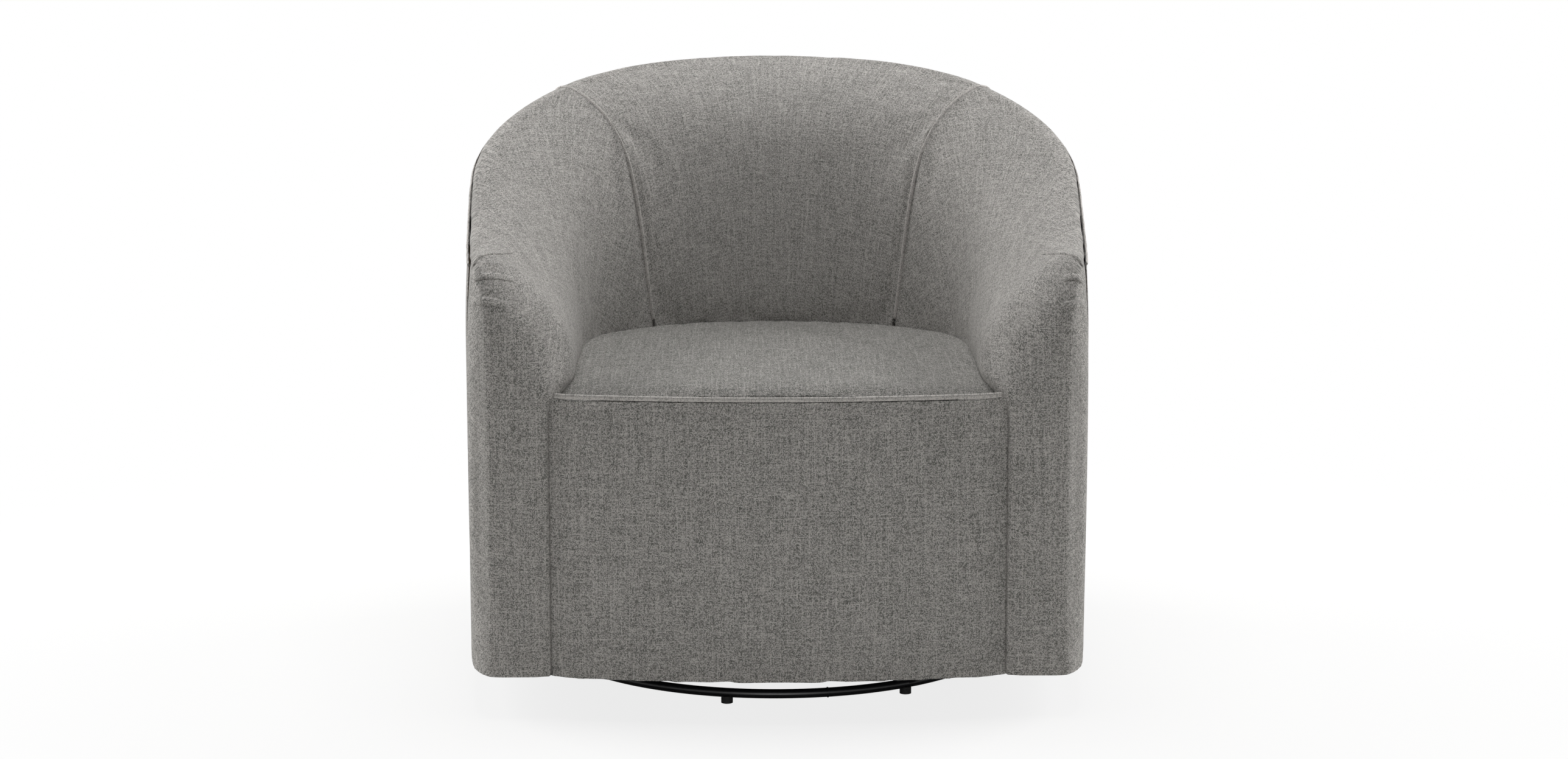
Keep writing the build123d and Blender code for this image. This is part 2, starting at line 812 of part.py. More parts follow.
# Seat: deck cloth on the springs, foam with a crown, sewn top cover
deck_bottom = seat_rail_top + clip_height + lie
foam_bottom = deck_bottom + deck_thickness + lie
crown_middle = (seat_rear - arm_reach - front_bow) / 2
cover_edge = seat_line - seat_fall
with BuildPart() as deck_cloth:
    extrude(
        seat_outline(seat_gap + cover + lie + 4).moved(Location((0, 0, deck_bottom))),
        deck_thickness,
    )
keep(deck_cloth.part, "deck_cloth")

with BuildPart() as seat_foam:
    extrude(
        seat_outline(seat_gap + cover + lie).moved(Location((0, 0, foam_bottom))),
        seat_peak - foam_bottom + 20,
    )
    with Locations((0, crown_middle, seat_peak - cover - lie - crown_radius)):
        Sphere(crown_radius, mode=Mode.INTERSECT)
keep(seat_foam.part, "seat_foam")

with BuildPart() as seat_core:
    extrude(
        seat_outline(seat_gap + cover).moved(Location((0, 0, cover_edge - 20))),
        seat_peak - cover_edge + 60,
    )
    with Locations((0, crown_middle, seat_peak - cover - crown_radius)):
        Sphere(crown_radius, mode=Mode.INTERSECT)

with BuildPart() as seat_cover:
    extrude(seat_outline(seat_gap).moved(Location((0, 0, cover_edge))), seat_peak - cover_edge + 20)
    with Locations((0, crown_middle, seat_peak - crown_radius)):
        Sphere(crown_radius, mode=Mode.INTERSECT)
    add(seat_core.part, mode=Mode.SUBTRACT)
keep(seat_cover.part, "seat_cover")

# Front panel: foam over the rails and the cover sewn to the seat cover
front_half = seat_front - seat_gap
with BuildPart() as front_foam:
    extrude(
        bow_band(
            cover + lie,
            cover + lie + front_foam_depth,
            cover + lie - front_half,
            front_half - cover - lie,
        ).moved(Location((0, 0, frame_bottom))),
        deck_bottom - lie - frame_bottom,
    )
keep(front_foam.part, "front_foam")

with BuildPart() as front_cover:
    extrude(
        bow_band(0, cover, -front_half, front_half).moved(Location((0, 0, skirt_height))),
        cover_edge - lie - skirt_height,
    )
    with BuildSketch(Plane.XY.offset(skirt_height)):
        corner = bow_centre - sqrt((bow_radius - cover / 2) ** 2 - front_half**2)
        with Locations((-front_half, corner)):
            Rectangle(cover, front_return, align=(Align.MIN, Align.MIN))
        with Locations((front_half, corner)):
            Rectangle(cover, front_return, align=(Align.MAX, Align.MIN))
    extrude(amount=cover_edge - lie - skirt_height)
keep(front_cover.part, "front_cover")

# Tub foam: back and arms, hollowed over the frame and ended below the seat
with BuildPart() as frame_room:
    extrude(back_band(-40, frame_space), back_height)
    extrude(under_crest(crest_foam, 0), barrel_radius + clear_of_walls, both=True, mode=Mode.INTERSECT)

with BuildPart() as arm_room:
    extrude(side_band(-40, frame_space, post_back - post_depth - lie), back_height)
    extrude(
        under_crest(crest_foam, 0),
        barrel_radius + clear_of_walls,
        both=True,
        mode=Mode.INTERSECT,
    )
    with BuildSketch():
        with Locations((post_inner - lie, post_back + lie)):
            Rectangle(post_width + clear_of_walls, post_depth + 2 * lie, align=(Align.MIN, Align.MAX))
    extrude(amount=post_top + lie)

with BuildPart() as below_tub:
    with Locations((0, post_back - post_depth - lie, 0)):
        Box(
            4 * barrel_radius,
            4 * barrel_radius,
            tuck_height,
            align=(Align.CENTER, Align.MIN, Align.MIN),
        )

with BuildPart() as back_foam:
    loft(back_sections(cover + lie, frame_bottom))
    add(frame_room.part, mode=Mode.SUBTRACT)
    add(below_tub.part, mode=Mode.SUBTRACT)
keep(back_foam.part, "back_foam")

with BuildPart() as right_arm_foam:
    for run in arm_lofts(cover + lie, frame_bottom, -0.1):
        loft(run)
    add(frame_room.part, mode=Mode.SUBTRACT)
    add(arm_room.part, mode=Mode.SUBTRACT)
    add(below_tub.part, mode=Mode.SUBTRACT)
keep(right_arm_foam.part, "right_arm_foam")

with BuildPart() as left_arm_foam:
    mirror(right_arm_foam.part, about=Plane.YZ)
keep(left_arm_foam.part, "left_arm_foam")

# Inside covers, from under the seat over the roll to the outer top edge
with BuildPart() as outside_room:
    extrude(back_band(-40, cover + 1), back_height)
    extrude(side_band(-40, cover + 1, nose_start), back_height)
    mirror(about=Plane.YZ)
    extrude(
        under_crest(edge_radius + edge_seam, 0),
        barrel_radius + clear_of_walls,
        both=True,
        mode=Mode.INTERSECT,
    )

with BuildPart() as below_covers:
    with Locations((0, nose_start, 0)):
        Box(
            4 * barrel_radius,
            4 * barrel_radius,
            tuck_height - lie,
            align=(Align.CENTER, Align.MIN, Align.MIN),
        )
    with Locations((0, tuck_behind - arm_reach, 0)):
        Box(
            post_inner + post_outer,
            nose_depth,
            tuck_height - lie,
            align=(Align.CENTER, Align.MIN, Align.MIN),
        )

with BuildPart() as inside_back_cover:
    loft(back_sections(0, skirt_height))
    loft(back_sections(cover, 0, 1.0), mode=Mode.SUBTRACT)
    add(outside_room.part, mode=Mode.SUBTRACT)
    add(below_covers.part, mode=Mode.SUBTRACT)
keep(inside_back_cover.part, "inside_back_cover")

with BuildPart() as right_arm_core:
    for run in arm_lofts(cover, 0, 1.0):
        loft(run)

with BuildPart() as right_arm_cover:
    for run in arm_lofts(0, skirt_height, -0.1):
        loft(run)
    add(right_arm_core.part, mode=Mode.SUBTRACT)
    add(outside_room.part, mode=Mode.SUBTRACT)
    add(below_covers.part, mode=Mode.SUBTRACT)
keep(right_arm_cover.part, "right_arm_cover")

with BuildPart() as left_arm_cover:
    mirror(right_arm_cover.part, about=Plane.YZ)
keep(left_arm_cover.part, "left_arm_cover")

# Outside covers, from the outer top edge to the floor edge
with BuildPart() as outside_back_cover:
    extrude(back_band(0, cover).moved(Location((0, 0, skirt_height))), back_height)
    extrude(
        under_crest(edge_radius + edge_seam + lie, 0),
        barrel_radius + clear_of_walls,
        both=True,
        mode=Mode.INTERSECT,
    )
keep(outside_back_cover.part, "outside_back_cover")

with BuildPart() as right_outside_cover:
    extrude(side_band(0, cover, nose_start + lie).moved(Location((0, -lie, skirt_height))), back_height)
    extrude(
        under_crest(edge_radius + edge_seam + lie, 0),
        barrel_radius + clear_of_walls,
        both=True,
        mode=Mode.INTERSECT,
    )
keep(right_outside_cover.part, "right_outside_cover")

with BuildPart() as left_outside_cover:
    mirror(right_outside_cover.part, about=Plane.YZ)
keep(left_outside_cover.part, "left_outside_cover")

# Dust cover under the frame, open around the upper plate
with BuildPart() as dust_cover:
    with BuildSketch(Plane.XY.offset(frame_bottom - deck_thickness - lie / 3)):
        add(back_band(rail_outer, barrel_radius))
        add(side_band(rail_outer, barrel_radius, post_back))
        add(mirror(side_band(rail_outer, barrel_radius, post_back), about=Plane.YZ))
        with Locations((0, post_back + 1)):
            Rectangle(
                2 * post_outer,
                post_back + arm_reach - tuck_behind,
                align=(Align.CENTER, Align.MAX),
            )
        add(bow_band(front_rail_outer, front_rail_inner + board, -front_rail_half, front_rail_half))
        Rectangle(plate_side + 8, plate_side + 8, mode=Mode.SUBTRACT)
    extrude(amount=deck_thickness)
keep(dust_cover.part, "dust_cover")
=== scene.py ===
"""Looks of a barrel swivel armchair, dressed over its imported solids. Metres, +Z up, facing -Y."""

import json
import logging
import math
from collections.abc import Callable
from dataclasses import dataclass, field
from enum import Enum

import bpy
import numpy as np
from bpy.types import ID, Material, Mesh, Node, NodeOutputs, NodeSocket, NodeTree, Object
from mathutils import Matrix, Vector
from mathutils.bvhtree import BVHTree


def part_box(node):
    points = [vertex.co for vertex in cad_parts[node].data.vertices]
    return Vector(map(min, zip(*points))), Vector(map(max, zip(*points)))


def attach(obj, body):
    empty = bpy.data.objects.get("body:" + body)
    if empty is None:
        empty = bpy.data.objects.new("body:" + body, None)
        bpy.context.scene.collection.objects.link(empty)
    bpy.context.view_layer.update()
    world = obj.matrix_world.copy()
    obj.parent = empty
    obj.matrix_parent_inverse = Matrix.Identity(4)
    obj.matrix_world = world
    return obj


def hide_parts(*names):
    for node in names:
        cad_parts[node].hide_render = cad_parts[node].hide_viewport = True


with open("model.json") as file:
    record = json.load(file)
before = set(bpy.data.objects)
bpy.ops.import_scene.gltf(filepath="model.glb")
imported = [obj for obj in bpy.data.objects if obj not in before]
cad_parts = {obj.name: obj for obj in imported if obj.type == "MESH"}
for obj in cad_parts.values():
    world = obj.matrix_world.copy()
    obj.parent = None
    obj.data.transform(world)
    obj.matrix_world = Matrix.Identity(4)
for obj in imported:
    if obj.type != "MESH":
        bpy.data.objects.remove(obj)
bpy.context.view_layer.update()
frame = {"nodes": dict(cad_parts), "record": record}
LOG = logging.getLogger("barrel_chair")
MM = 0.001
TINY = 1e-12
CHAIR = "chair"
BASE = "base"
WHITE = (1.0, 1.0, 1.0, 1.0)


def linear(colour: str) -> tuple[float, float, float, float]:
    """Turns an sRGB hex colour into linear light.

    Args:
        colour: six hex digits after a hash sign.

    Returns:
        Red, green, blue and an alpha of one.
    """
    parts = [int(colour[place : place + 2], 16) / 255 for place in (1, 3, 5)]
    light = [c / 12.92 if c <= 0.04045 else ((c + 0.055) / 1.055) ** 2.4 for c in parts]
    return (light[0], light[1], light[2], 1.0)


@dataclass
class NodeBench:
    """A node tree with short ways to add to it."""

    tree: NodeTree

    def feed(self, node: Node, inputs: dict) -> None:
        """Links or sets a node's inputs.

        Args:
            node: the node.
            inputs: a value, or an output to link from, by input name or number.
        """
        for socket, value in inputs.items():
            if isinstance(value, NodeSocket):
                self.tree.links.new(value, node.inputs[socket])
            else:
                node.inputs[socket].default_value = value

    def add(self, kind: str, inputs: dict | None = None, **settings: object) -> Node:
        """Adds one node.

        Args:
            kind: Blender's name for the node type.
            inputs: a value, or an output to link from, by input name or number.
            settings: attributes of the node itself.

        Returns:
            The new node.
        """
        node = self.tree.nodes.new(kind)
        for name, value in settings.items():
            setattr(node, name, value)
        self.feed(node, inputs or {})
        return node

    def calc(self, operation: str, *values: object) -> NodeSocket:
        """Adds a sum on numbers and gives its result."""
        return self.add("ShaderNodeMath", dict(enumerate(values)), operation=operation).outputs[0]

    def vector(self, operation: str, *values: object) -> NodeSocket:
        """Adds a sum on vectors and gives its result, a number for a length or a dot product."""
        node = self.add("ShaderNodeVectorMath", dict(enumerate(values)), operation=operation)
        return node.outputs["Value" if operation in ("LENGTH", "DOT_PRODUCT") else "Vector"]

    def split(self, vector: NodeSocket) -> NodeOutputs:
        """Adds the split of a vector and gives its three numbers."""
        return self.add("ShaderNodeSeparateXYZ", {0: vector}).outputs

    def ramp(self, value: NodeSocket, low: float, high: float) -> NodeSocket:
        """Adds a straight rise from 0 at the low value to 1 at the high one."""
        inputs = {"Value": value, "From Min": low, "From Max": high}
        return self.add("ShaderNodeMapRange", inputs).outputs[0]

    def mix(self, share: object, first: object, second: object) -> NodeSocket:
        """Adds a mix of two numbers."""
        inputs = {0: share, 2: first, 3: second}
        return self.add("ShaderNodeMix", inputs, data_type="FLOAT").outputs[0]

    def tint(self, share: NodeSocket, dark: str, light: str) -> NodeSocket:
        """Adds a mix of two colours given as hex digits."""
        inputs = {0: share, 6: linear(dark), 7: linear(light)}
        return self.add("ShaderNodeMix", inputs, data_type="RGBA").outputs[2]

    def noise(self, place: object, scale: float, detail: float) -> NodeOutputs:
        """Adds smooth noise and gives its outputs, the plain value first."""
        inputs = {"Vector": place, "Scale": scale, "Detail": detail}
        return self.add("ShaderNodeTexNoise", inputs).outputs

    def bump(self, height: object, distance: float, strength: float) -> NodeSocket:
        """Adds relief and gives the surface direction."""
        inputs = {"Height": height, "Distance": distance, "Strength": strength}
        return self.add("ShaderNodeBump", inputs).outputs[0]


def new_surface(name: str) -> tuple[Material, NodeBench, Node]:
    """Makes an empty node material.

    Args:
        name: what the real material is.

    Returns:
        The material, its nodes and its shader node.
    """
    material = bpy.data.materials.new(name)
    material.use_nodes = True
    return material, NodeBench(material.node_tree), material.node_tree.nodes["Principled BSDF"]


class Grain(Enum):
    """How the cloth of a panel was laid: its turn in degrees on level and on side-facing parts."""

    STRAIGHT = 0.0
    LEFT_BIAS = 38.0
    RIGHT_BIAS = -38.0


@dataclass(frozen=True)
class WovenCloth:
    """Heathered plain-weave upholstery cloth: matt, with light and dark slubs both ways.

    Its coarse threads lie about 1.15 mm apart. Each has its own tone, and each crossing its own.
    """

    thread: float = 1.15 * MM
    warp_slub: float = 100 * MM
    weft_slub: float = 40 * MM
    wander: float = 1.2 * MM
    dark: str = "#595a56"
    light: str = "#bcb8b4"
    relief: float = 0.4 * MM
    strand_gap: float = 3.717
    weft_shift: tuple[float, float, float] = (31.3, 57.7, 0.0)
    slub_share: float = 0.65
    speckle: float = 0.6
    line_tones: tuple[float, float] = (0.58, 0.8)
    line_share: float = 0.13
    tone_range: tuple[float, float] = (0.47, 1.13)
    crown: float = 0.35
    patch_share: float = 0.06

    def threads(self) -> NodeTree:
        """Makes the thread pattern once, as a group on flat coordinates in metres.

        Every thread has its own tone that drifts along it. Warp and weft come to the top by turns.
        """
        known = bpy.data.node_groups.get("plain_weave_threads")
        if known is not None:
            return known
        tree = bpy.data.node_groups.new("plain_weave_threads", "ShaderNodeTree")
        tree.interface.new_socket("Place", in_out="INPUT", socket_type="NodeSocketVector")
        for name in ("Tone", "Height"):
            tree.interface.new_socket(name, in_out="OUTPUT", socket_type="NodeSocketFloat")
        bench = NodeBench(tree)
        place = bench.add("NodeGroupInput").outputs["Place"]
        drift = bench.noise(place, scale=30.0, detail=1.0)["Color"]
        uneven = bench.vector("MULTIPLY_ADD", drift, (self.wander,) * 3, place)
        count = 1 / self.thread
        turns = bench.vector("MULTIPLY", uneven, (count, count, 0.0))
        cells = bench.vector("FLOOR", turns)
        numbers = bench.split(cells)
        runs = bench.split(turns)
        tones = []
        for along, stretch, shift in (
            (1, (self.strand_gap, self.thread / self.warp_slub, 1.0), (0.0, 0.0, 0.0)),
            (0, (self.thread / self.weft_slub, self.strand_gap, 1.0), self.weft_shift),
        ):
            strand = bench.add(
                "ShaderNodeCombineXYZ", {1 - along: numbers[1 - along], along: runs[along]}
            )
            laid = bench.add(
                "ShaderNodeMapping",
                {"Vector": strand.outputs[0], "Scale": stretch, "Location": shift},
            )
            slubs = bench.add(
                "ShaderNodeTexNoise",
                {"Vector": laid.outputs[0], "Scale": 1.0, "Detail": 2.0, "Roughness": 0.65},
                noise_dimensions="2D",
            )
            tones.append(slubs.outputs[0])
        # Half the sum of a crossing's two numbers has a fraction where the weft is on top
        crossing = bench.calc("FRACT", bench.vector("DOT_PRODUCT", cells, (0.5, 0.5, 0.0)))
        weft_on_top = bench.calc("GREATER_THAN", crossing, 0.25)
        shown = bench.mix(weft_on_top, *tones)
        quiet = bench.calc("MULTIPLY_ADD", shown, self.slub_share, (1 - self.slub_share) / 2)
        grains = bench.add("ShaderNodeTexWhiteNoise", {"Vector": cells}, noise_dimensions="2D")
        speckled = bench.calc("MULTIPLY_ADD", grains.outputs["Value"], self.speckle, quiet)
        lines = bench.calc("MAXIMUM", *(bench.ramp(tone, *self.line_tones) for tone in tones))
        lined = bench.calc("MULTIPLY_ADD", lines, self.line_share, speckled)
        tone = bench.ramp(lined, *self.tone_range)
        bends = bench.vector("MULTIPLY", turns, (math.pi, math.pi, 0.0))
        waves = bench.split(bench.vector("SINE", bends))
        over = bench.calc("MULTIPLY", waves[0], waves[1])
        height = bench.calc("MULTIPLY_ADD", over, self.crown, tone)
        bench.add("NodeGroupOutput", {"Tone": tone, "Height": height})
        return tree

    def dress(self, grain: Grain, painted_light: float = 0.0) -> Material:
        """Makes the cloth for panels of one grain.

        The weave follows each piece's own cloth_place attribute, and gives way to a weave laid
        straight from the front by the attribute's third number.

        Args:
            grain: how the panel was cut.
            painted_light: how much lighter the cloth is painted, as a painted highlight, or darker
                below zero, as painted shade.

        Returns:
            The cloth's material.
        """
        # Above zero the cloth gets a painted highlight, below zero painted shade
        kind = "_highlight_painted" if painted_light > 0 else "_shade_painted" if painted_light < 0 else ""
        name = "heathered_plain_weave_" + grain.name.lower() + kind
        material, bench, shader = new_surface(name)
        place = bench.add("ShaderNodeTexCoord").outputs["Object"]
        lie = bench.add("ShaderNodeAttribute", attribute_name="cloth_place")
        on_panel = bench.split(lie.outputs["Vector"])
        on_front = bench.split(place)
        woven = []
        for across, along, turn in (
            (on_panel[0], on_panel[1], grain.value),
            (on_front[0], on_front[2], 0.0),
        ):
            flat = bench.add("ShaderNodeCombineXYZ", {0: across, 1: along})
            laid = bench.add(
                "ShaderNodeMapping",
                {"Vector": flat.outputs[0], "Rotation": (0.0, 0.0, math.radians(turn))},
            )
            inputs = {"Place": laid.outputs[0]}
            threads = bench.add("ShaderNodeGroup", inputs, node_tree=self.threads())
            woven.append(threads.outputs)
        tone, height = (
            bench.mix(on_panel[2], woven[0][name], woven[1][name]) for name in ("Tone", "Height")
        )
        patches = bench.noise(place, scale=9.0, detail=2.0)[0]
        # The painted light shifts the tone of the whole cloth, lighter or darker
        shift = painted_light - self.patch_share / 2
        tone = bench.calc("ADD", tone, bench.calc("MULTIPLY_ADD", patches, self.patch_share, shift))
        bench.feed(
            shader,
            {
                "Base Color": bench.tint(tone, self.dark, self.light),
                "Normal": bench.bump(height, self.relief, strength=0.55),
                "Roughness": 0.92,
                "Specular IOR Level": 0.15,
                "Sheen Weight": 0.04,
                "Sheen Roughness": 0.6,
            },
        )
        return material


@dataclass(frozen=True)
class PlainFinish:
    """A rigid or simple finish whose colour and gloss vary a little over the surface."""

    name: str
    dark: str
    light: str
    roughness: float
    metallic: float = 0.0
    grit: float = 4 * MM
    stretch: tuple[float, float, float] = (1.0, 1.0, 1.0)
    relief: float = 0.05 * MM
    gloss_range: float = 0.16

    def dress(self) -> Material:
        """Makes the material from its colours, gloss and grit size."""
        material, bench, shader = new_surface(self.name)
        place = bench.add("ShaderNodeTexCoord").outputs["Object"]
        laid = bench.add("ShaderNodeMapping", {"Vector": place, "Scale": self.stretch})
        noise = bench.noise(laid.outputs[0], 1 / self.grit, detail=4.0)[0]
        smoothest = self.roughness - self.gloss_range / 2
        bench.feed(
            shader,
            {
                "Base Color": bench.tint(noise, self.dark, self.light),
                "Roughness": bench.calc("MULTIPLY_ADD", noise, self.gloss_range, smoothest),
                "Normal": bench.bump(noise, self.relief, strength=0.5),
                "Metallic": self.metallic,
            },
        )
        return material


SLOT_FINISHES = {
    # Powder-coated bar: near black, semi-gloss, with a slight orange peel
    "black_steel": PlainFinish("powder_coated_steel", "#0b0b0c", "#17171a", 0.34, 0.0, 2.2 * MM),
    # Zinc-plated pressings and fasteners: cool grey with a patchy lustre
    "plated_steel": PlainFinish("zinc_plated_steel", "#8f9295", "#b9bbbc", 0.36, 1.0, 9 * MM),
    # Ground and polished bearing balls
    "bearing_steel": PlainFinish("polished_bearing_steel", "#b4b5b8", "#c9cacc", 0.14, 1.0, 5 * MM),
    # Oil-tempered spring wire: dark, with a faint mottle
    "spring_steel": PlainFinish("oil_tempered_wire", "#3a3b3e", "#55565a", 0.38, 1.0, 3 * MM),
    # Moulded rubber feet: matt black
    "black_rubber": PlainFinish("moulded_rubber", "#101010", "#1e1e1f", 0.78, 0.0, 0.8 * MM),
    # Natural nylon: milky, slightly glossy
    "nylon": PlainFinish("natural_nylon", "#cfccbe", "#dcd9cd", 0.42, 0.0, 6 * MM),
    # Non-woven dust cloth: black with a fine fibre fleck
    "black_cambric": PlainFinish("non_woven_cambric", "#0d0d0d", "#262626", 0.95, 0.0, 1.2 * MM),
    # Upholstery foam: pale yellow, open-celled
    "foam": PlainFinish(
        "polyurethane_foam", "#cbbd8f", "#dccf9f", 0.96, 0.0, 1.6 * MM, relief=0.4 * MM
    ),
    # Planed hardwood rails: pale brown, the grain drawn out upwards
    "hardwood": PlainFinish(
        "planed_hardwood", "#8d6b45", "#b99668", 0.55, 0.0, 16 * MM, (1.0, 1.0, 0.12), 0.1 * MM
    ),
}


def deselect() -> None:
    """Leaves edit mode and deselects everything."""
    if bpy.context.mode != "OBJECT":
        bpy.ops.object.mode_set(mode="OBJECT")
    bpy.ops.object.select_all(action="DESELECT")


def take(obj: Object) -> None:
    """Makes one object the only selected and the active one."""
    deselect()
    obj.select_set(True)
    bpy.context.view_layer.objects.active = obj


def link_new(name: str, data: ID) -> Object:
    """Makes an object of a mesh, lamp or camera and puts it in the scene."""
    obj = bpy.data.objects.new(name, data)
    bpy.context.scene.collection.objects.link(obj)
    return obj


def edit_whole(obj: Object, step: Callable, **settings: object) -> None:
    """Runs one edit step on the whole of an object's mesh."""
    take(obj)
    bpy.ops.object.mode_set(mode="EDIT")
    bpy.ops.mesh.select_all(action="SELECT")
    step(**settings)
    bpy.ops.object.mode_set(mode="OBJECT")


def copy_node(name: str, label: str) -> Object:
    """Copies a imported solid's mesh into a new object and closes its loose triangles.

    Args:
        name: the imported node.
        label: name of the new object.

    Returns:
        The new object.
    """
    obj = link_new(label, frame["nodes"][name].data.copy())
    edit_whole(obj, bpy.ops.mesh.remove_doubles, threshold=0.02 * MM)
    return obj


def put_on(obj: Object, material: Material) -> None:
    """Gives an object one material and smooth shading."""
    obj.data.materials.clear()
    obj.data.materials.append(material)
    take(obj)
    bpy.ops.object.shade_smooth()


def places_of(mesh: Mesh) -> np.ndarray:
    """Reads a mesh's points as rows of three."""
    flat = np.empty(len(mesh.vertices) * 3)
    mesh.vertices.foreach_get("co", flat)
    return flat.reshape(-1, 3)


def normals_of(mesh: Mesh) -> np.ndarray:
    """Reads a mesh's point normals as rows of three."""
    flat = np.empty(len(mesh.vertices) * 3)
    mesh.vertex_normals.foreach_get("vector", flat)
    return flat.reshape(-1, 3)


def set_places(mesh: Mesh, places: np.ndarray) -> None:
    """Writes a mesh's points from rows of three."""
    mesh.vertices.foreach_set("co", places.ravel())
    mesh.update()


def apply_modifier(obj: Object, kind: str, **settings: object) -> None:
    """Adds a modifier with its settings and applies it."""
    modifier = obj.modifiers.new(kind.lower(), kind)
    for name, value in settings.items():
        setattr(modifier, name, value)
    take(obj)
    bpy.ops.object.modifier_apply(modifier=modifier.name)


def tree_of(*objects: Object) -> BVHTree:
    """Makes one search tree of several meshes."""
    points: list[Vector] = []
    faces: list[tuple[int, ...]] = []
    for obj in objects:
        start = len(points)
        points += [vertex.co.copy() for vertex in obj.data.vertices]
        faces += [tuple(start + i for i in face.vertices) for face in obj.data.polygons]
    return BVHTree.FromPolygons(points, faces)


class Lay(Enum):
    """How a panel's cloth lies.

    Round the tub, round it with a straight front as on an arm, or straight as seen from above or
    from the front.
    """

    ROUND = "round"
    ARM = "arm"
    ABOVE = "above"
    FRONT = "front"


def eased(share: np.ndarray) -> np.ndarray:
    """Turns a share into a smooth step from 0 to 1."""
    share = np.clip(share, 0.0, 1.0)
    return share * share * (3 - 2 * share)


@dataclass(frozen=True)
class Ramp:
    """A smooth step from 0 at its start to 1 at its end, on either side of the start."""

    start: float
    end: float

    def at(self, places: np.ndarray) -> np.ndarray:
        """Gives the step's height at some places."""
        return eased((places - self.start) / (self.end - self.start))


@dataclass(frozen=True)
class TubForm:
    """The tub's main lines as in the part's source, and how its padding fills them, in metres."""

    radius: float = 0.405
    back_height: float = 0.766
    arm_height: float = 0.583
    crest_fall: float = 1.4
    nose_start: float = -0.300
    bow_radius: float = 1.3404
    bow_centre: float = 0.9354
    seat_line: float = 0.414
    skirt_bottom: float = 0.054
    wall_radius: float = 0.33
    axis_guard: float = 0.1
    # Shoulders, from the top edge down the outer wall
    shoulder_depth: float = 0.13
    shoulder_pull: float = 0.006
    shoulder_lift: float = 0.0145
    crest_drop: float = 0.0018
    lift_start: float = 0.48
    edge_drop: float = 0.0163
    outer_wall: Ramp = Ramp(0.34, 0.39)
    along_arms: Ramp = Ramp(0.12, -0.18)
    # Roll at the top of the inside
    roll: float = 0.024
    roll_depth: float = 0.17
    inner_wall: Ramp = Ramp(0.335, 0.39)
    behind_arms: Ramp = Ramp(-0.15, 0.0)
    # Outside covers and lower edges
    sewn_lap: float = 0.004
    side_cover_end: float = 0.1
    side_cover_length: float = 0.3
    back_cover_edge: Ramp = Ramp(0.05, 0.0)
    hem: Ramp = Ramp(0.12, 0.054)
    # Arms, bulging over the seat and rounded at the front
    arm_front: float = -0.375
    arm_wall: float = 0.282
    wall_taper: float = 0.032
    flare_start: float = -0.27
    flare_power: float = 2.2
    bulge_line: float = 0.2545
    bulge_flare: float = 0.0225
    bulge_end: Ramp = Ramp(0.02, -0.08)
    bulge_foot: Ramp = Ramp(0.385, 0.425)
    bulge_top: Ramp = Ramp(0.455, 0.575)
    arm_inside: Ramp = Ramp(0.35, 0.29)
    nose_round: float = 0.016
    nose_inside: Ramp = Ramp(0.345, 0.275)
    nose_front: Ramp = Ramp(-0.3, -0.36)
    nose_top: Ramp = Ramp(0.41, 0.47)
    # Front panel and seat
    panel_spread: float = 0.007
    panel_recess: float = 0.006
    panel_edge: Ramp = Ramp(0.25, 0.274)
    panel_side: Ramp = Ramp(0.22, 0.27)
    front_roll: float = 0.034
    front_rise: float = 0.007
    seat_spread: float = 0.004
    seat_upper: Ramp = Ramp(0.402, 0.414)
    seat_side: Ramp = Ramp(0.2, 0.25)
    # Where cloth laid round an arm gives way to cloth laid straight on its front
    facing_front: Ramp = Ramp(0.5, 0.85)
    near_front: Ramp = Ramp(-0.24, -0.3)

    def run(self, y: np.ndarray) -> np.ndarray:
        """Gives the share of the way from the back to the arm fronts."""
        return np.clip((self.radius - y) / (self.radius - self.nose_start), 0.0, 1.0)

    def crest(self, y: np.ndarray) -> np.ndarray:
        """Gives the height of the top edge at places from the back to the arm fronts."""
        fall = np.sin(self.run(y) * math.pi / 2) ** self.crest_fall
        return self.back_height - (self.back_height - self.arm_height) * fall

    def lift(self, y: np.ndarray) -> np.ndarray:
        """Tells how much the padding raises the top edge, most of all at the shoulders."""
        return self.shoulder_lift * np.sin(math.pi * self.run(y)) ** 2 - self.crest_drop

    def front(self, x: np.ndarray) -> np.ndarray:
        """Gives the y of the bowed front panel."""
        return self.bow_centre - np.sqrt(self.bow_radius**2 - x**2)

    def let_down(self, places: np.ndarray) -> np.ndarray:
        """Brings a panel's lower edge back down to the skirt line after smoothing."""
        height = places[:, 2]
        short = height.min() - self.skirt_bottom
        places[:, 2] -= short * self.hem.at(height)
        return places

    def drawn_in(self, places: np.ndarray) -> np.ndarray:
        """Leans the outer wall in under the top edge, and fills out the roll and the shoulders."""
        places = self.let_down(places)
        height = places[:, 2]
        crest = self.crest(places[:, 1])
        reach = np.linalg.norm(places[:, :2], axis=1)
        guarded = np.maximum(reach, self.axis_guard)
        shoulder = np.clip(1 - (crest - height) / self.shoulder_depth, 0.0, 1.0) ** 2
        pull = self.outer_wall.at(reach) * self.shoulder_pull * shoulder
        pull *= self.along_arms.at(places[:, 1])
        places[:, :2] *= (1 - pull / guarded)[:, None]
        depth = np.clip(1 - (crest - height) / self.roll_depth, 0.0, 1.0)
        inner = 1 - self.inner_wall.at(reach)
        pushed = self.roll * depth**2 * inner * self.behind_arms.at(places[:, 1])
        places[:, :2] *= (1 + pushed / guarded)[:, None]
        high = eased((height - self.lift_start) / (crest - self.lift_start))
        places[:, 2] += self.lift(places[:, 1]) * high
        return places

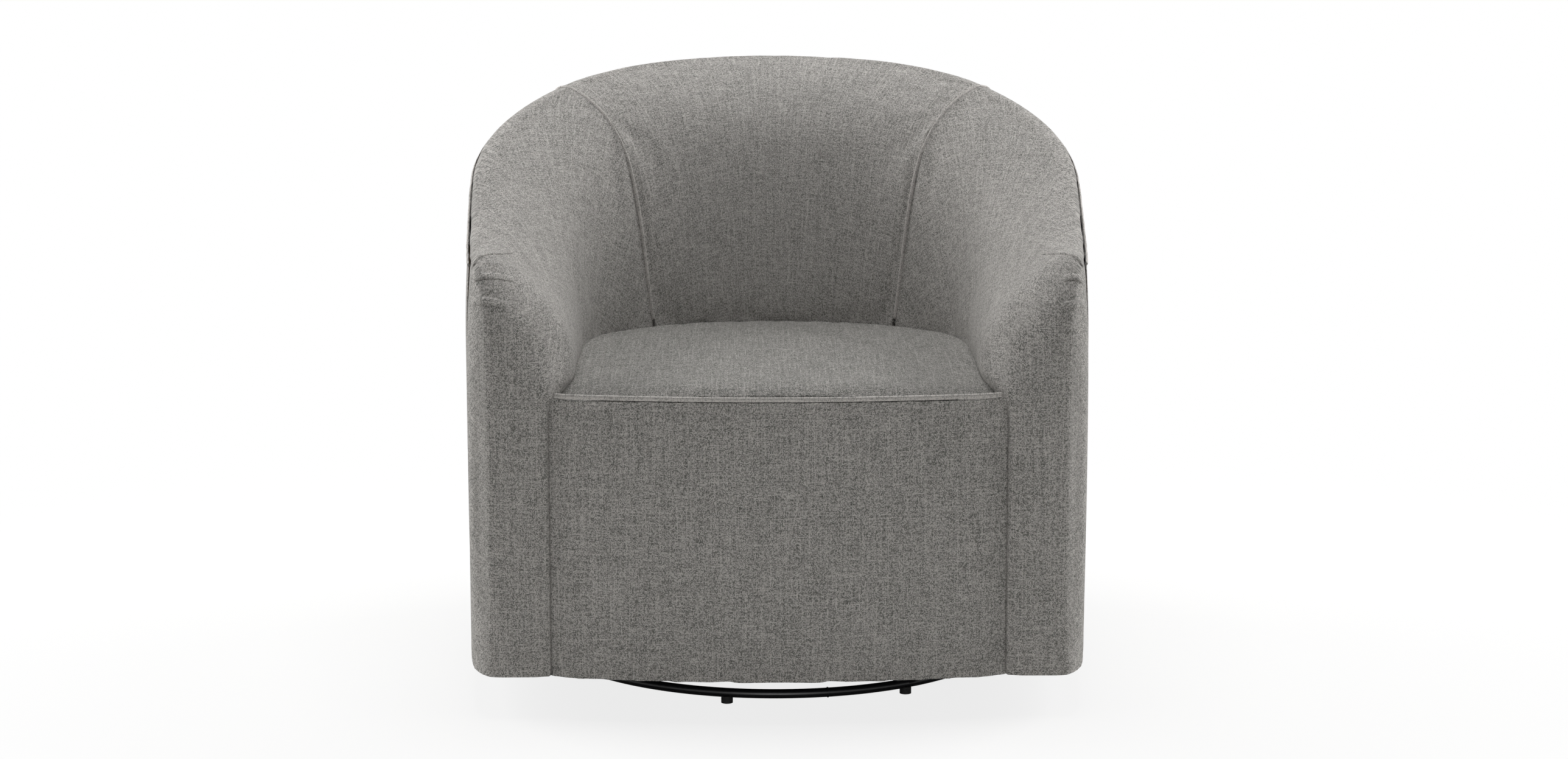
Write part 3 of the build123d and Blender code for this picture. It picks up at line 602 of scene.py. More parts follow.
    def sewn_outside(self, places: np.ndarray) -> np.ndarray:
        """Shapes an outside cover as the rest, and brings its upright edges to its neighbours."""
        places = self.drawn_in(places)
        y = places[:, 1]
        if y.max() < self.side_cover_end:
            middle = (y.max() + y.min()) / 2
            longer = 1 + 2 * self.sewn_lap / self.side_cover_length
            places[:, 1] = middle + (y - middle) * longer
        else:
            places[:, 1] -= self.sewn_lap * self.back_cover_edge.at(y)
        return places

    def filled_arm(self, places: np.ndarray) -> np.ndarray:
        """Draws an arm in as the rest, and lets its padding bulge over the seat's edge."""
        places = self.drawn_in(places)
        x, y, z = places.T
        wall = self.arm_wall - self.wall_taper * ((y - self.arm_front) / self.arm_front) ** 2
        flare = np.clip((y - self.flare_start) / (self.arm_front - self.flare_start), 0.0, 1.0)
        line = self.bulge_line + self.bulge_flare * flare**self.flare_power
        depth = np.maximum(wall - line, 0.0) * self.bulge_end.at(y)
        tall = self.bulge_foot.at(z) * (1 - self.bulge_top.at(z))
        places[:, 0] -= np.sign(x) * depth * tall * self.arm_inside.at(np.abs(x))
        corner = self.nose_inside.at(np.abs(x)) * self.nose_front.at(y)
        places[:, 1] += self.nose_round * corner * self.nose_top.at(z)
        return places

    def spread_panel(self, places: np.ndarray) -> np.ndarray:
        """Spreads the front panel until it meets the arms, and tucks its sides in a little."""
        places = self.let_down(places)
        side = np.abs(places[:, 0])
        places[:, 1] += self.panel_recess * self.panel_edge.at(side)
        places[:, 0] += np.sign(places[:, 0]) * self.panel_spread * self.panel_side.at(side)
        return places

    def rolled_seat(self, places: np.ndarray) -> np.ndarray:
        """Fills the seat out behind its front seam, so that it rolls over into the seam."""
        behind = np.maximum(places[:, 1] - self.front(places[:, 0]), 0.0) / self.front_roll
        lift = self.front_rise * behind * np.exp(1 - behind)
        places[:, 2] += lift * self.seat_upper.at(places[:, 2])
        side = np.abs(places[:, 0])
        places[:, 0] += np.sign(places[:, 0]) * self.seat_spread * self.seat_side.at(side)
        return places

    def lay_cloth(self, piece: Object, lay: Lay) -> None:
        """Writes where each point lies on the flat cloth, as the attribute cloth_place.

        Round the tub the cloth runs along the wall and up it, and over its roll. At an arm's
        front its third number gives way to cloth laid straight from the front.

        Args:
            piece: the piece of cloth.
            lay: how its cloth lies.
        """
        places = places_of(piece.data)
        x, y, z = places.T
        flat = np.zeros_like(places)
        if lay is Lay.ABOVE:
            flat[:, 0] = x
            flat[:, 1] = y + z
        elif lay is Lay.FRONT:
            flat[:, 2] = 1.0
        else:
            quarter = self.wall_radius * math.pi / 2
            straight = np.sign(x) * (quarter - np.minimum(y, 0.0))
            flat[:, 0] = np.where(y > 0, np.arctan2(x, y) * self.wall_radius, straight)
            flat[:, 1] = z + np.where(y > 0, np.hypot(x, y), np.abs(x))
        if lay is Lay.ARM:
            facing = -normals_of(piece.data)[:, 1]
            flat[:, 2] = self.facing_front.at(facing) * self.near_front.at(y)
        laid = piece.data.attributes.new("cloth_place", "FLOAT_VECTOR", "POINT")
        laid.data.foreach_set("vector", flat.ravel())


TUB = TubForm()


@dataclass
class PaddedPanel:
    """One upholstered panel: its cover over its foam, swelled by a cloth simulation.

    The thin cover is fattened so that the remesh can hold it, joined with the foam, remeshed,
    slimmed again and then blown up a little where it is seen, held where it meets other pieces.
    """

    name: str
    cover: str
    foam: tuple[str, ...] = ()
    grain: Grain = Grain.STRAIGHT
    fill: float = 0.8
    voxel: float = 5.5 * MM
    fatten: float = 2.4 * MM
    sink: float = 2.0 * MM
    swell: float = 5.0 * MM
    pressure: float = 4.0
    smooth_rounds: int = 4
    simulated: bool = True
    twin: str | None = None
    # Painted shade: how much darker this panel's cloth is made, standing in for shade the tub casts
    # on it
    painted_darkening: float = 0.0
    shape: Callable[[np.ndarray], np.ndarray] | None = None
    lay: Lay = Lay.ROUND
    skin_clear: float = 0.6 * MM
    sight: float = 0.12
    frames: int = 20

    def build(self, inside: BVHTree) -> Object:
        """Makes the panel's mesh.

        Args:
            inside: search tree of what lies under or against the covers.

        Returns:
            The panel.
        """
        panel = copy_node(self.cover, self.name)
        edit_whole(panel, bpy.ops.transform.shrink_fatten, value=self.fatten)
        fillings = [copy_node(name, self.name + "_" + name) for name in self.foam]
        take(panel)
        for filling in fillings:
            filling.select_set(True)
        if fillings:
            bpy.ops.object.join()
        panel.data.remesh_voxel_size = self.voxel
        panel.data.remesh_voxel_adaptivity = 0.0
        bpy.ops.object.voxel_remesh()
        self.slim(panel, inside)
        return panel

    def seen(self, places: np.ndarray, normals: np.ndarray, inside: BVHTree) -> np.ndarray:
        """Tells which points face open air.

        Args:
            places: the panel's points.
            normals: their normals.
            inside: search tree of what lies under or against the covers.

        Returns:
            One for a point that is seen and zero for one that faces another piece.
        """
        starts = places + normals * self.skin_clear
        hits = [
            inside.ray_cast(Vector(start), Vector(normal), self.sight)[0]
            for start, normal in zip(starts, normals)
        ]
        return np.array([float(hit is None) for hit in hits])

    def slim(self, panel: Object, inside: BVHTree) -> None:
        """Takes the fattening off again, and swells the panel where it is seen."""
        mesh = panel.data
        places = places_of(mesh)
        normals = normals_of(mesh)
        places -= normals * self.fatten
        set_places(mesh, places)
        normals = normals_of(mesh)
        open_air = self.seen(places, normals, inside)
        start = places - normals * (open_air * self.sink)[:, None]
        set_places(mesh, start)
        if self.simulated:
            self.swell_up(panel, start, open_air)
        else:
            set_places(mesh, start + normals * (open_air * self.sink)[:, None])
        apply_modifier(panel, "SMOOTH", factor=0.5, iterations=self.smooth_rounds)
        if self.shape is not None:
            set_places(mesh, self.shape(places_of(mesh)))

    def swell_up(self, panel: Object, start: np.ndarray, open_air: np.ndarray) -> None:
        """Blows the panel up by cloth pressure, held where it isn't seen, and caps the travel.

        Args:
            panel: the panel's object.
            start: its points before the swelling.
            open_air: one where a point may move.
        """
        held = panel.vertex_groups.new(name="held")
        held.add([int(i) for i in np.flatnonzero(open_air < 0.5)], 1.0, "REPLACE")
        cloth = panel.modifiers.new("cloth", "CLOTH")
        settings = cloth.settings
        settings.quality = 3
        settings.mass = 0.3
        settings.tension_stiffness = 25
        settings.compression_stiffness = 25
        settings.shear_stiffness = 10
        settings.bending_stiffness = 4
        settings.vertex_group_mass = "held"
        settings.use_pressure = True
        settings.uniform_pressure_force = self.pressure
        settings.effector_weights.gravity = 0
        cloth.collision_settings.use_collision = False
        cloth.point_cache.frame_start = 1
        cloth.point_cache.frame_end = self.frames
        scene = bpy.context.scene
        for number in range(1, self.frames + 1):
            scene.frame_set(number)
        grown = places_of(panel.evaluated_get(bpy.context.evaluated_depsgraph_get()).data)
        travel = grown - start
        length = np.linalg.norm(travel, axis=1)
        kept = self.swell * np.tanh(length / self.swell)
        share = kept / np.maximum(length, TINY)
        panel.modifiers.remove(cloth)
        scene.frame_set(1)
        set_places(panel.data, start + travel * share[:, None])
        LOG.info("%s swelled by up to %.1f mm", self.name, kept.max() / MM)

    def mirrored(self, twin: Object) -> Object:
        """Makes the panel as a copy of its twin on the other side of the chair."""
        panel = link_new(self.name, twin.data.copy())
        places = places_of(panel.data)
        places[:, 0] *= -1
        set_places(panel.data, places)
        edit_whole(panel, bpy.ops.mesh.normals_make_consistent, inside=False)
        panel.data.attributes.remove(panel.data.attributes["cloth_place"])
        return panel

    def finish(self, panel: Object, cloth: Material) -> None:
        if self.twin is None:
            apply_modifier(panel, "SUBSURF", levels=1, render_levels=1)
        TUB.lay_cloth(panel, self.lay)
        put_on(panel, cloth)
        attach(panel, CHAIR)
        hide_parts(self.cover, *self.foam)


@dataclass
class Upholstery:
    """All padded panels of the chair."""

    cloth: WovenCloth = field(default_factory=WovenCloth)
    panels: list[PaddedPanel] = field(
        default_factory=lambda: [
            PaddedPanel(
                "seat_pad", "seat_cover", ("seat_foam",),
                # The seat's cloth is darkened as painted shade, for the shade the arms and back
                # cast on it
                painted_darkening=-0.17, shape=TUB.rolled_seat, lay=Lay.ABOVE,
            ),
            PaddedPanel(
                "front_panel", "front_cover", ("front_foam",),
                swell=4 * MM, shape=TUB.spread_panel, lay=Lay.FRONT,
            ),
            PaddedPanel("inside_back", "inside_back_cover", ("back_foam",), shape=TUB.drawn_in),
            PaddedPanel(
                "left_arm", "left_arm_cover", ("left_arm_foam",), Grain.LEFT_BIAS,
                smooth_rounds=6, shape=TUB.filled_arm, lay=Lay.ARM,
            ),
            PaddedPanel(
                "right_arm", "right_arm_cover", ("right_arm_foam",), Grain.RIGHT_BIAS,
                twin="left_arm", lay=Lay.ARM,
            ),
            PaddedPanel(
                "outside_back", "outside_back_cover",
                fill=0.95, simulated=False, shape=TUB.sewn_outside,
            ),
            PaddedPanel(
                "left_outside", "left_outside_cover",
                fill=0.95, simulated=False, shape=TUB.sewn_outside,
            ),
            PaddedPanel("right_outside", "right_outside_cover", fill=0.95, twin="left_outside"),
        ]
    )
    made: dict[str, Object] = field(default_factory=dict)
    cloths: dict[Grain, Material] = field(default_factory=dict)
    # Painted highlight: the seams' and stitches' cloth is lightened as if their ridges caught the
    # light
    seam_highlight_paint: float = 0.38
    painted_highlight_cloth: Material | None = None

    def hidden_solids(self) -> list[Object]:
        """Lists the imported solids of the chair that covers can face, apart from the covers."""
        members = frame["record"]["behaviour"]["bodies"][CHAIR]
        skipped = ("cover", "spring", "tee_nuts", "plate_", "upper_race")
        return [frame["nodes"][n] for n in members if not any(word in n for word in skipped)]

    def build(self) -> None:
        """Makes and dresses every panel."""
        inside = tree_of(*self.hidden_solids())
        self.cloths = {grain: self.cloth.dress(grain) for grain in Grain}
        self.painted_highlight_cloth = self.cloth.dress(Grain.STRAIGHT, self.seam_highlight_paint)
        for panel in self.panels:
            twin = self.made.get(panel.twin or "")
            obj = panel.build(inside) if twin is None else panel.mirrored(twin)
            cloth = self.cloths[panel.grain]
            # A panel with painted shade gets its own darkened copy of the cloth
            if panel.painted_darkening:
                cloth = self.cloth.dress(panel.grain, panel.painted_darkening)
            panel.finish(obj, cloth)
            self.made[panel.name] = obj
            LOG.info("%s: %d faces", panel.name, len(obj.data.polygons))


def strip(label: str, rows: np.ndarray, thickness: float) -> Object:
    """Shapes a grid into a strip of cloth and gives it its thickness.

    Args:
        label: name of the new object.
        rows: the strip's points, by place along it, place across it and coordinate.
        thickness: how thick the cloth is.

    Returns:
        The strip, closed all round.
    """
    along, across = rows.shape[:2]
    deselect()
    bpy.ops.mesh.primitive_grid_add(x_subdivisions=along - 1, y_subdivisions=across - 1, size=1.0)
    obj = bpy.context.object
    obj.name = label
    flat = places_of(obj.data) + 0.5
    first = np.rint(flat[:, 0] * (along - 1)).astype(int)
    second = np.rint(flat[:, 1] * (across - 1)).astype(int)
    set_places(obj.data, rows[first, second])
    apply_modifier(obj, "SOLIDIFY", thickness=thickness, offset=0.0)
    edit_whole(obj, bpy.ops.mesh.normals_make_consistent, inside=False)
    bpy.ops.object.shade_smooth()
    return obj


def evenly(points: np.ndarray, step: float) -> np.ndarray:
    """Spaces the points of a line evenly.

    Args:
        points: rows along the line, the place in the first three columns.
        step: wanted distance between points.

    Returns:
        Rows at even distances along the line.
    """
    gaps = np.linalg.norm(np.diff(points[:, :3], axis=0), axis=1)
    run = np.concatenate([[0.0], np.cumsum(gaps)])
    places = np.linspace(0.0, run[-1], max(4, int(run[-1] / step)))
    return np.stack([np.interp(places, run, column) for column in points.T], axis=1)


def unit(rows: np.ndarray) -> np.ndarray:
    """Scales vectors to a length of one."""
    return rows / np.maximum(np.linalg.norm(rows, axis=-1, keepdims=True), TINY)


def sewing_line(found: list[np.ndarray], step: float, rounds: int = 6) -> np.ndarray:
    """Spaces found points evenly and takes the small bends out of their line."""
    line = evenly(np.array(found), step)
    for _ in range(rounds):
        line[1:-1] = (line[:-2] + 2 * line[1:-1] + line[2:]) / 4
    return line


def struck(cloth: BVHTree, starts: list[np.ndarray], sight: np.ndarray) -> np.ndarray:
    """Finds where parallel lines of sight meet the cloth.

    Args:
        cloth: search tree of the cloth.
        starts: where the lines begin.
        sight: the way they all run.

    Returns:
        A row for each line that meets the cloth: the place and the surface direction.
    """
    hits = [cloth.ray_cast(Vector(start), Vector(sight)) for start in starts]
    return np.array([(*hit[0], *hit[1]) for hit in hits if hit[0] is not None])


@dataclass
class SewnSeams:
    """Lapped seams: a narrow ridge of doubled cloth with a row of stitches along each side."""

    upholstery: Upholstery
    seam_angle: float = 49.0
    half_width: float = 0.95 * MM
    rise: float = 2.1 * MM
    cloth: float = 0.7 * MM
    step: float = 2.5 * MM
    stitch_length: float = 2.6 * MM
    stitch_pitch: float = 3.6 * MM
    stitch_radius: float = 0.32 * MM
    stitch_out: float = 0.12 * MM
    stitch_gap: float = 2.4
    # Cross-section of a ridge, as shares of its half width and its rise
    section: tuple[tuple[float, float], ...] = (
        (-3.6, -0.7), (-1.4, 0.3), (-0.55, 1.0), (0.55, 1.0), (1.4, 0.3), (3.6, -0.7),
    )
    # Where the inside back is looked at from, in which degrees, and how far beside its seam
    eye_out: float = 0.25
    eye_height: float = 1.5
    tilts: tuple[float, float] = (-2.9, 11.2)
    beside: float = 6.5 * MM
    # The seat's front seam
    front_reach: float = 0.276
    front_below: float = 0.6 * MM
    front_drops: tuple[float, ...] = (-6 * MM, -3 * MM, 1 * MM)
    front_rise: float = 2.0 * MM
    front_out: tuple[float, float, float] = (0.0, -0.75, 0.65)
    # The seam round the outer edge
    edge_shifts: tuple[float, ...] = (-5 * MM, 5 * MM)
    edge_rise: float = 1.0 * MM
    outside: float = 0.6
    # How many sights find each seam's line
    back_sights: int = 260
    front_sights: int = 200
    side_sights: int = 60
    round_sights: int = 240

    def ridge(
        self, label: str, path: np.ndarray, out: np.ndarray, across: np.ndarray, rise: float
    ) -> None:
        """Makes one ridge along a line.

        Args:
            label: name of the ridge.
            path: points on the cloth.
            out: directions away from the cloth.
            across: directions across the seam.
            rise: height of the ridge.
        """
        rows = [
            path + across * (wide * self.half_width) + out * (high * rise)
            for wide, high in self.section
        ]
        self.dress(strip(label, np.stack(rows, axis=1), self.cloth))

    def dress(self, obj: Object) -> None:
        TUB.lay_cloth(obj, Lay.FRONT)
        # The seams and stitches wear the cloth with the painted highlight
        obj.data.materials.append(self.upholstery.painted_highlight_cloth)
        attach(obj, CHAIR)
        LOG.info("%s: %d faces", obj.name, len(obj.data.polygons))

    def stitches(self, label: str, path: np.ndarray, out: np.ndarray, across: np.ndarray) -> None:
        """Makes a row of stitches along each side of a line.

        Args:
            label: name of the rows.
            path: points on the cloth.
            out: directions away from the cloth.
            across: directions across the seam.
        """
        deselect()
        bpy.ops.mesh.primitive_cylinder_add(
            vertices=6, radius=self.stitch_radius, depth=self.stitch_length, end_fill_type="TRIFAN"
        )
        one = bpy.context.object
        edit_whole(one, bpy.ops.mesh.subdivide, number_cuts=1, smoothness=0.6)
        shape = places_of(one.data)
        faces = [tuple(face.vertices) for face in one.data.polygons]
        bpy.data.objects.remove(one)
        lines = evenly(np.concatenate([path, out, across], axis=1), self.stitch_pitch)
        ahead = unit(np.gradient(lines[:, :3], axis=0))
        points: list[np.ndarray] = []
        sides: list[tuple[int, ...]] = []
        for side in (-1, 1):
            for row, forward in zip(lines, ahead):
                place, outward, sideways = row.reshape(3, 3)
                start = len(points) * len(shape)
                centre = place + sideways * (side * self.stitch_gap * self.half_width)
                centre = centre + outward * self.stitch_out
                points.append(centre + shape @ np.stack([sideways, outward, forward]))
                sides += [tuple(start + i for i in face) for face in faces]
        mesh = bpy.data.meshes.new(label)
        mesh.from_pydata(np.concatenate(points).tolist(), [], sides)
        obj = link_new(label, mesh)
        edit_whole(obj, bpy.ops.mesh.normals_make_consistent, inside=False)
        bpy.ops.object.shade_smooth()
        self.dress(obj)

    def inside_back(self, label: str, side: float) -> None:
        """Sews the inside back to one arm, from the seat over the roll to the top edge.

        Args:
            label: name of the seam.
            side: -1 for the left arm and 1 for the right one.
        """
        turn = math.radians(self.seam_angle)
        away = np.array([side * math.sin(turn), math.cos(turn), 0.0])
        across = np.array([math.cos(turn), -side * math.sin(turn), 0.0])
        upright = np.array([0.0, 0.0, 1.0])
        arm = "left_arm" if side < 0 else "right_arm"
        cloth = tree_of(self.upholstery.made["inside_back"], self.upholstery.made[arm])
        eye = away * self.eye_out + upright * self.eye_height
        pair = [eye - across * self.beside, eye + across * self.beside]
        found = []
        for tilt in np.radians(np.linspace(*self.tilts, self.back_sights)):
            rows = struck(cloth, pair, away * math.sin(tilt) - upright * math.cos(tilt))
            if len(rows) == len(pair):
                direction = unit(rows[:, 3:].sum(axis=0))
                found.append(np.concatenate([rows[:, :3].mean(axis=0), direction]))
        line = sewing_line(found, self.step)
        out = unit(line[:, 3:])
        side_way = np.tile(across, (len(line), 1))
        self.ridge(label, line[:, :3], out, side_way, self.rise)
        self.stitches(label + "_stitches", line[:, :3], out, side_way)

    def seat_front(self) -> None:
        """Sews the seat to the front panel along the front edge, with a fine raised edge."""
        cloth = tree_of(self.upholstery.made["seat_pad"], self.upholstery.made["front_panel"])
        height = TUB.seat_line - self.front_below
        found = []
        for x in np.linspace(-self.front_reach, self.front_reach, self.front_sights):
            starts = [np.array([x, -1.0, height + drop]) for drop in self.front_drops]
            rows = struck(cloth, starts, np.array([0.0, 1.0, 0.0]))
            if len(rows):
                found.append(np.array([x, rows[:, 1].min(), height]))
        line = sewing_line(found, self.step)
        ahead = unit(np.gradient(line, axis=0))
        upward = np.tile(unit(np.array(self.front_out)), (len(line), 1))
        out = unit(upward - ahead * (upward * ahead).sum(axis=1, keepdims=True))
        self.ridge("seat_front_seam", line, out, np.cross(out, ahead), self.front_rise)

    def outer_edge(self) -> None:
        """Sews the outside covers to the roll, from one arm front round the back to the other."""
        cloth = tree_of(*self.upholstery.made.values())
        sides = np.linspace(TUB.nose_start, 0.0, self.side_sights)[:, None] * np.array([[0.0, 1.0]])
        turn = np.linspace(-math.pi / 2, math.pi / 2, self.round_sights)[1:-1]
        back = np.stack([np.sin(turn), np.cos(turn)], axis=1)
        aims = [(level, np.array([-1.0, 0.0])) for level in sides]
        aims += [(np.zeros(2), away) for away in back]
        aims += [(level, np.array([1.0, 0.0])) for level in sides[::-1]]
        found = []
        for level, away in aims:
            y = (level + away * TUB.radius)[1:]
            height = (TUB.crest(y) + TUB.lift(y))[0] - TUB.edge_drop
            start = level + away * self.outside
            starts = [np.array([*start, height + shift]) for shift in self.edge_shifts]
            rows = struck(cloth, starts, np.array([*-away, 0.0]))
            if len(rows):
                reach = ((rows[:, :2] - level) @ away).max()
                found.append(np.array([*(level + away * reach), height, *away, 0.0]))
        line = sewing_line(found, self.step)
        out = unit(line[:, 3:])
        side_way = unit(np.cross(out, np.gradient(line[:, :3], axis=0)))
        self.ridge("outer_edge_seam", line[:, :3], out, side_way, self.edge_rise)

    def build(self) -> None:
        """Makes all seams."""
        self.outer_edge()
        self.inside_back("left_back_seam", -1.0)
        self.inside_back("right_back_seam", 1.0)
        self.seat_front()


def nearest(cloth: BVHTree, points: np.ndarray) -> tuple[np.ndarray, np.ndarray]:
    """Finds the cloth's nearest places to some points, and its directions there."""
    hits = [cloth.find_nearest(Vector(point)) for point in points]
    return np.array([hit[0] for hit in hits]), unit(np.array([hit[1] for hit in hits]))


@dataclass(frozen=True)
class Tuck:
    """One fold taken in the arm's cloth at the front bend, from the outer edge inwards."""

    name: str
    arm: str
    line: tuple[tuple[float, float, float], ...]
    depth: float = 11 * MM
    rise: float = 1.5 * MM
    thickness: float = 0.8 * MM
    points: int = 36
    full_share: float = 1.15
    fade_power: float = 0.6
    # Cross-section of the fold, as shares of its depth and its rise
    section: tuple[tuple[float, float], ...] = (
        (0.07, -0.8), (0.0, 0.45), (0.04, 1.0), (0.22, 0.9), (0.6, 0.4), (1.0, -0.35),
    )

    def build(self, upholstery: Upholstery) -> None:
        """Lays the fold on the arm: the upper cloth laps over the lower one.

        Args:
            upholstery: the panels that carry the fold.
        """
        cloth = tree_of(upholstery.made[self.arm])
        corners = np.array(self.line) * MM
        middle = 2 * corners[1] - (corners[0] + corners[2]) / 2
        share = np.linspace(0.0, 1.0, self.points)[:, None]
        bent = middle * 2 * share * (1 - share)
        curve = corners[0] * (1 - share) ** 2 + bent + corners[2] * share**2
        places, normals = nearest(cloth, curve)
        ahead = unit(np.gradient(places, axis=0))
        upward = np.cross(normals, ahead)
        upward *= np.sign(upward[:, 2].mean())
        fade = np.minimum(1.0, self.full_share * (1 - share[:, 0]) ** self.fade_power)
        rows = []
        for reach, height in self.section:
            on_arm, out = nearest(cloth, places + upward * (reach * self.depth))
            lift = np.where(height > 0, height * fade, height) * self.rise
            rows.append(on_arm + out * lift[:, None])
        obj = strip(self.name, np.stack(rows, axis=1), self.thickness)
        TUB.lay_cloth(obj, Lay.ARM)
        grain = Grain.LEFT_BIAS if self.arm == "left_arm" else Grain.RIGHT_BIAS
        obj.data.materials.append(upholstery.cloths[grain])
        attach(obj, CHAIR)
        LOG.info("%s: %d faces", obj.name, len(obj.data.polygons))


ARM_TUCKS = (
    Tuck("left_upper_tuck", "left_arm", ((-381, -326, 575), (-351, -285, 577), (-333, -236, 571))),
    Tuck("left_middle_tuck", "left_arm", ((-381, -345, 553), (-360, -349, 558), (-324, -335, 551))),
    Tuck("left_lower_tuck", "left_arm", ((-382, -343, 522), (-356, -362, 524), (-331, -365, 521))),
    Tuck("right_upper_tuck", "right_arm", ((383, -328, 572), (357, -301, 578), (333, -250, 570))),
    Tuck("right_middle_tuck", "right_arm", ((382, -343, 548), (364, -351, 555), (351, -351, 552))),
    Tuck("right_lower_tuck", "right_arm", ((383, -341, 517), (368, -358, 519), (354, -370, 519))),
)


@dataclass
class StretchedCloth(PaddedPanel):
    """Thin cloth stapled flat to the frame, sagging a little between its rails."""

    sag: float = 2.5 * MM
    size: tuple[float, float] = (0.8, 0.7)

    def finish(self, panel: Object, cloth: Material) -> None:
        places = places_of(panel.data)
        middle = (places.min(axis=0) + places.max(axis=0)) / 2
        half = (places.max(axis=0) - places.min(axis=0)) / 2
        across = np.abs(places - middle) / np.maximum(half, MM)
        places[:, 2] -= self.sag * eased(1 - across[:, 0]) * eased(1 - across[:, 1])
        set_places(panel.data, places)
        put_on(panel, cloth)
        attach(panel, CHAIR)
        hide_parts(self.cover)


@dataclass
class RingWeld:
    """Bead of the butt weld that closes the floor ring, a little right of the front."""

    ring_radius: float = 0.305
    bar: float = 12 * MM
    angle: float = 12.0
    bead: float = 0.9 * MM
    stand_off: float = 0.1 * MM
    ripple: float = 0.12 * MM
    ripple_step: float = 1.7

    def build(self, finish: Material) -> None:
        """Makes the bead round the bar."""
        low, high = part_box("floor_ring")
        turn = math.radians(self.angle)
        centre = (
            self.ring_radius * math.sin(turn),
            -self.ring_radius * math.cos(turn),
            (low.z + high.z) / 2,
        )
        deselect()
        bpy.ops.mesh.primitive_torus_add(
            major_segments=40,
            minor_segments=10,
            major_radius=self.bar / 2 + self.stand_off,
            minor_radius=self.bead,
            location=centre,
            rotation=(0.0, math.pi / 2, turn),
        )
        weld = bpy.context.object
        weld.name = "ring_weld"
        bpy.ops.object.transform_apply(location=True, rotation=True, scale=True)
        ripple = places_of(weld.data)
        away = unit(ripple - np.array(centre))
        ripple += away * (self.ripple * np.sin(np.arange(len(ripple)) * self.ripple_step))[:, None]
        set_places(weld.data, ripple)
        apply_modifier(weld, "SUBSURF", levels=1, render_levels=1)
        bpy.ops.object.shade_smooth()
        weld.data.materials.append(finish)
        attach(weld, BASE)
        LOG.info("%s: %d faces", weld.name, len(weld.data.polygons))


@dataclass
class Hardware:
    """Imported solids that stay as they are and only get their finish."""

    finishes: dict[str, Material] = field(default_factory=dict)

    def dress(self, cloth: Material) -> None:
        """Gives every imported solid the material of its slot.

        Args:
            cloth: the cover cloth.
        """
        self.finishes = {slot: finish.dress() for slot, finish in SLOT_FINISHES.items()}
        self.finishes["woven_cloth"] = cloth
        for row in frame["record"]["subparts"]:
            mesh = frame["nodes"][row["node"]].data
            mesh.materials.clear()
            mesh.materials.append(self.finishes[row["material_slot"]])


@dataclass(frozen=True)
class SoftBox:
    """A square soft lamp that faces the chair: its name, place, side and power in watts."""

    name: str
    place: tuple[float, float, float]
    size: float
    power: float
    target: tuple[float, float, float] = (0.0, 0.0, 0.5)

    def build(self) -> None:
        """Makes the lamp."""
        data = bpy.data.lights.new(self.name, "AREA")
        data.shape = "SQUARE"
        data.size = self.size
        data.energy = self.power
        lamp = link_new(self.name, data)
        lamp.location = self.place
        lamp.rotation_mode = "QUATERNION"
        way = Vector(self.target) - Vector(self.place)
        lamp.rotation_quaternion = way.to_track_quat("-Z", "Y")


SOFT_BOXES = (
    SoftBox("left_box", (-2.7, 0.98, 1.75), 2.0, 90.0),
    SoftBox("right_box", (2.7, 0.98, 1.75), 2.0, 90.0),
    SoftBox("top_box", (0.0, 0.0, 3.2), 1.5, 47.0),
    SoftBox("front_low", (0.0, -3.5, 0.35), 1.5, 26.5),
)


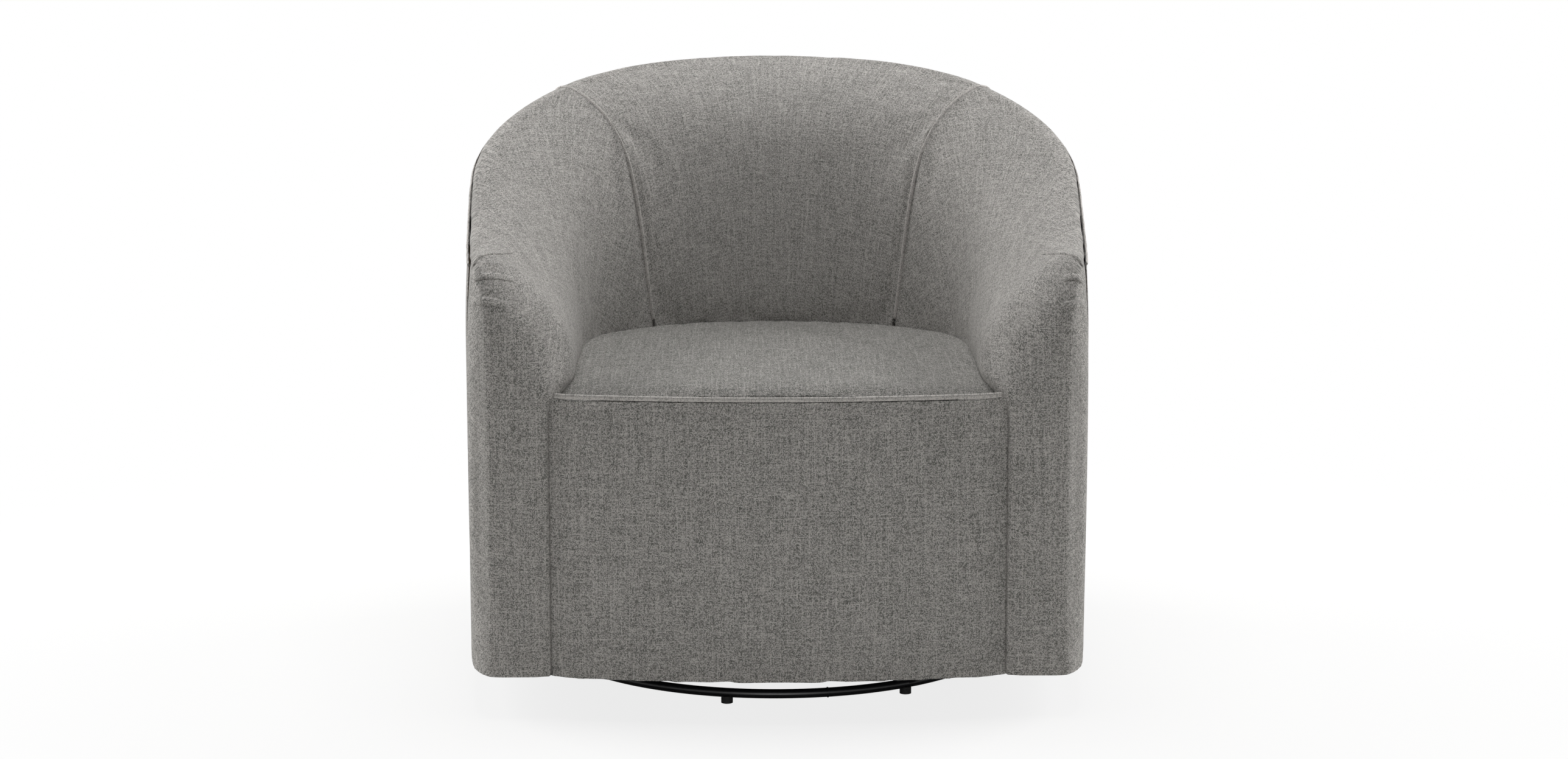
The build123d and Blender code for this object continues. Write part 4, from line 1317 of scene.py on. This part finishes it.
@dataclass
class Studio:
    """Pale floor, soft light and the camera."""

    eye: tuple[float, float, float] = (-0.05, -4.5, 1.19)
    pitch: float = 10.4
    yaw: float = -0.787
    lens: float = 78.2
    floor_size: float = 40.0
    floor_drop: float = 0.5 * MM
    glow_start: float = 0.45
    glow_full: float = 1.6
    glow_least: float = 0.82
    soft_light: float = 0.02

    def build(self) -> None:
        """Makes the floor, the world, the lamps and the camera."""
        self.make_floor()
        self.make_world()
        for box in SOFT_BOXES:
            box.build()
        data = bpy.data.cameras.new("camera")
        data.lens = self.lens
        data.sensor_width = 36.0
        data.clip_end = 100.0
        camera = link_new("camera", data)
        camera.location = self.eye
        camera.rotation_euler = (math.radians(90 - self.pitch), 0.0, math.radians(self.yaw))
        scene = bpy.context.scene
        scene.camera = camera
        scene.view_settings.view_transform = "Standard"

    def make_floor(self) -> None:
        """Makes a pale floor that reads as white to the camera and keeps the chair's shadow."""
        deselect()
        place = (0.0, 0.0, -self.floor_drop)
        bpy.ops.mesh.primitive_plane_add(size=self.floor_size, location=place)
        floor = bpy.context.object
        floor.name = "floor"
        material, bench, shader = new_surface("pale_floor")
        bench.feed(shader, {"Base Color": linear("#e9e9e7"), "Roughness": 0.9})
        away = bench.vector("LENGTH", bench.add("ShaderNodeTexCoord").outputs["Object"])
        glow = bench.add(
            "ShaderNodeMapRange",
            {
                "Value": away,
                "From Min": self.glow_start,
                "From Max": self.glow_full,
                "To Min": self.glow_least,
            },
            interpolation_type="SMOOTHSTEP",
        )
        ray = bench.add("ShaderNodeLightPath").outputs["Is Camera Ray"]
        part = bench.calc("MULTIPLY", ray, glow.outputs[0])
        white = bench.add("ShaderNodeEmission", {"Color": WHITE, "Strength": 1.0})
        mixed = bench.add(
            "ShaderNodeMixShader", {0: part, 1: shader.outputs[0], 2: white.outputs[0]}
        )
        bench.feed(bench.tree.nodes["Material Output"], {"Surface": mixed.outputs[0]})
        floor.data.materials.append(material)

    def make_world(self) -> None:
        """Makes a white backdrop for the camera and a soft grey light for everything else."""
        world = bpy.data.worlds.new("studio")
        world.use_nodes = True
        bpy.context.scene.world = world
        bench = NodeBench(world.node_tree)
        ray = bench.add("ShaderNodeLightPath").outputs
        seen = bench.calc("MAXIMUM", ray["Is Camera Ray"], ray["Is Glossy Ray"])
        seen = bench.calc("MAXIMUM", seen, ray["Is Transmission Ray"])
        strength = bench.add(
            "ShaderNodeMapRange", {"Value": seen, "To Min": self.soft_light, "To Max": 1.0}
        )
        back = bench.tree.nodes["Background"]
        bench.feed(back, {"Color": WHITE, "Strength": strength.outputs[0]})


def main() -> None:
    """Builds the chair's looks in order."""
    logging.basicConfig(level=logging.INFO, format="%(name)s: %(message)s")
    Studio().build()
    upholstery = Upholstery()
    upholstery.build()
    hardware = Hardware()
    hardware.dress(upholstery.cloths[Grain.STRAIGHT])
    SewnSeams(upholstery).build()
    for tuck in ARM_TUCKS:
        tuck.build(upholstery)
    inside = tree_of(*upholstery.hidden_solids())
    sheet = StretchedCloth("dust_cloth", "dust_cover", voxel=7 * MM, simulated=False)
    sheet.finish(sheet.build(inside), hardware.finishes["black_cambric"])
    RingWeld().build(hardware.finishes["black_steel"])


if __name__ == "__main__":
    main()
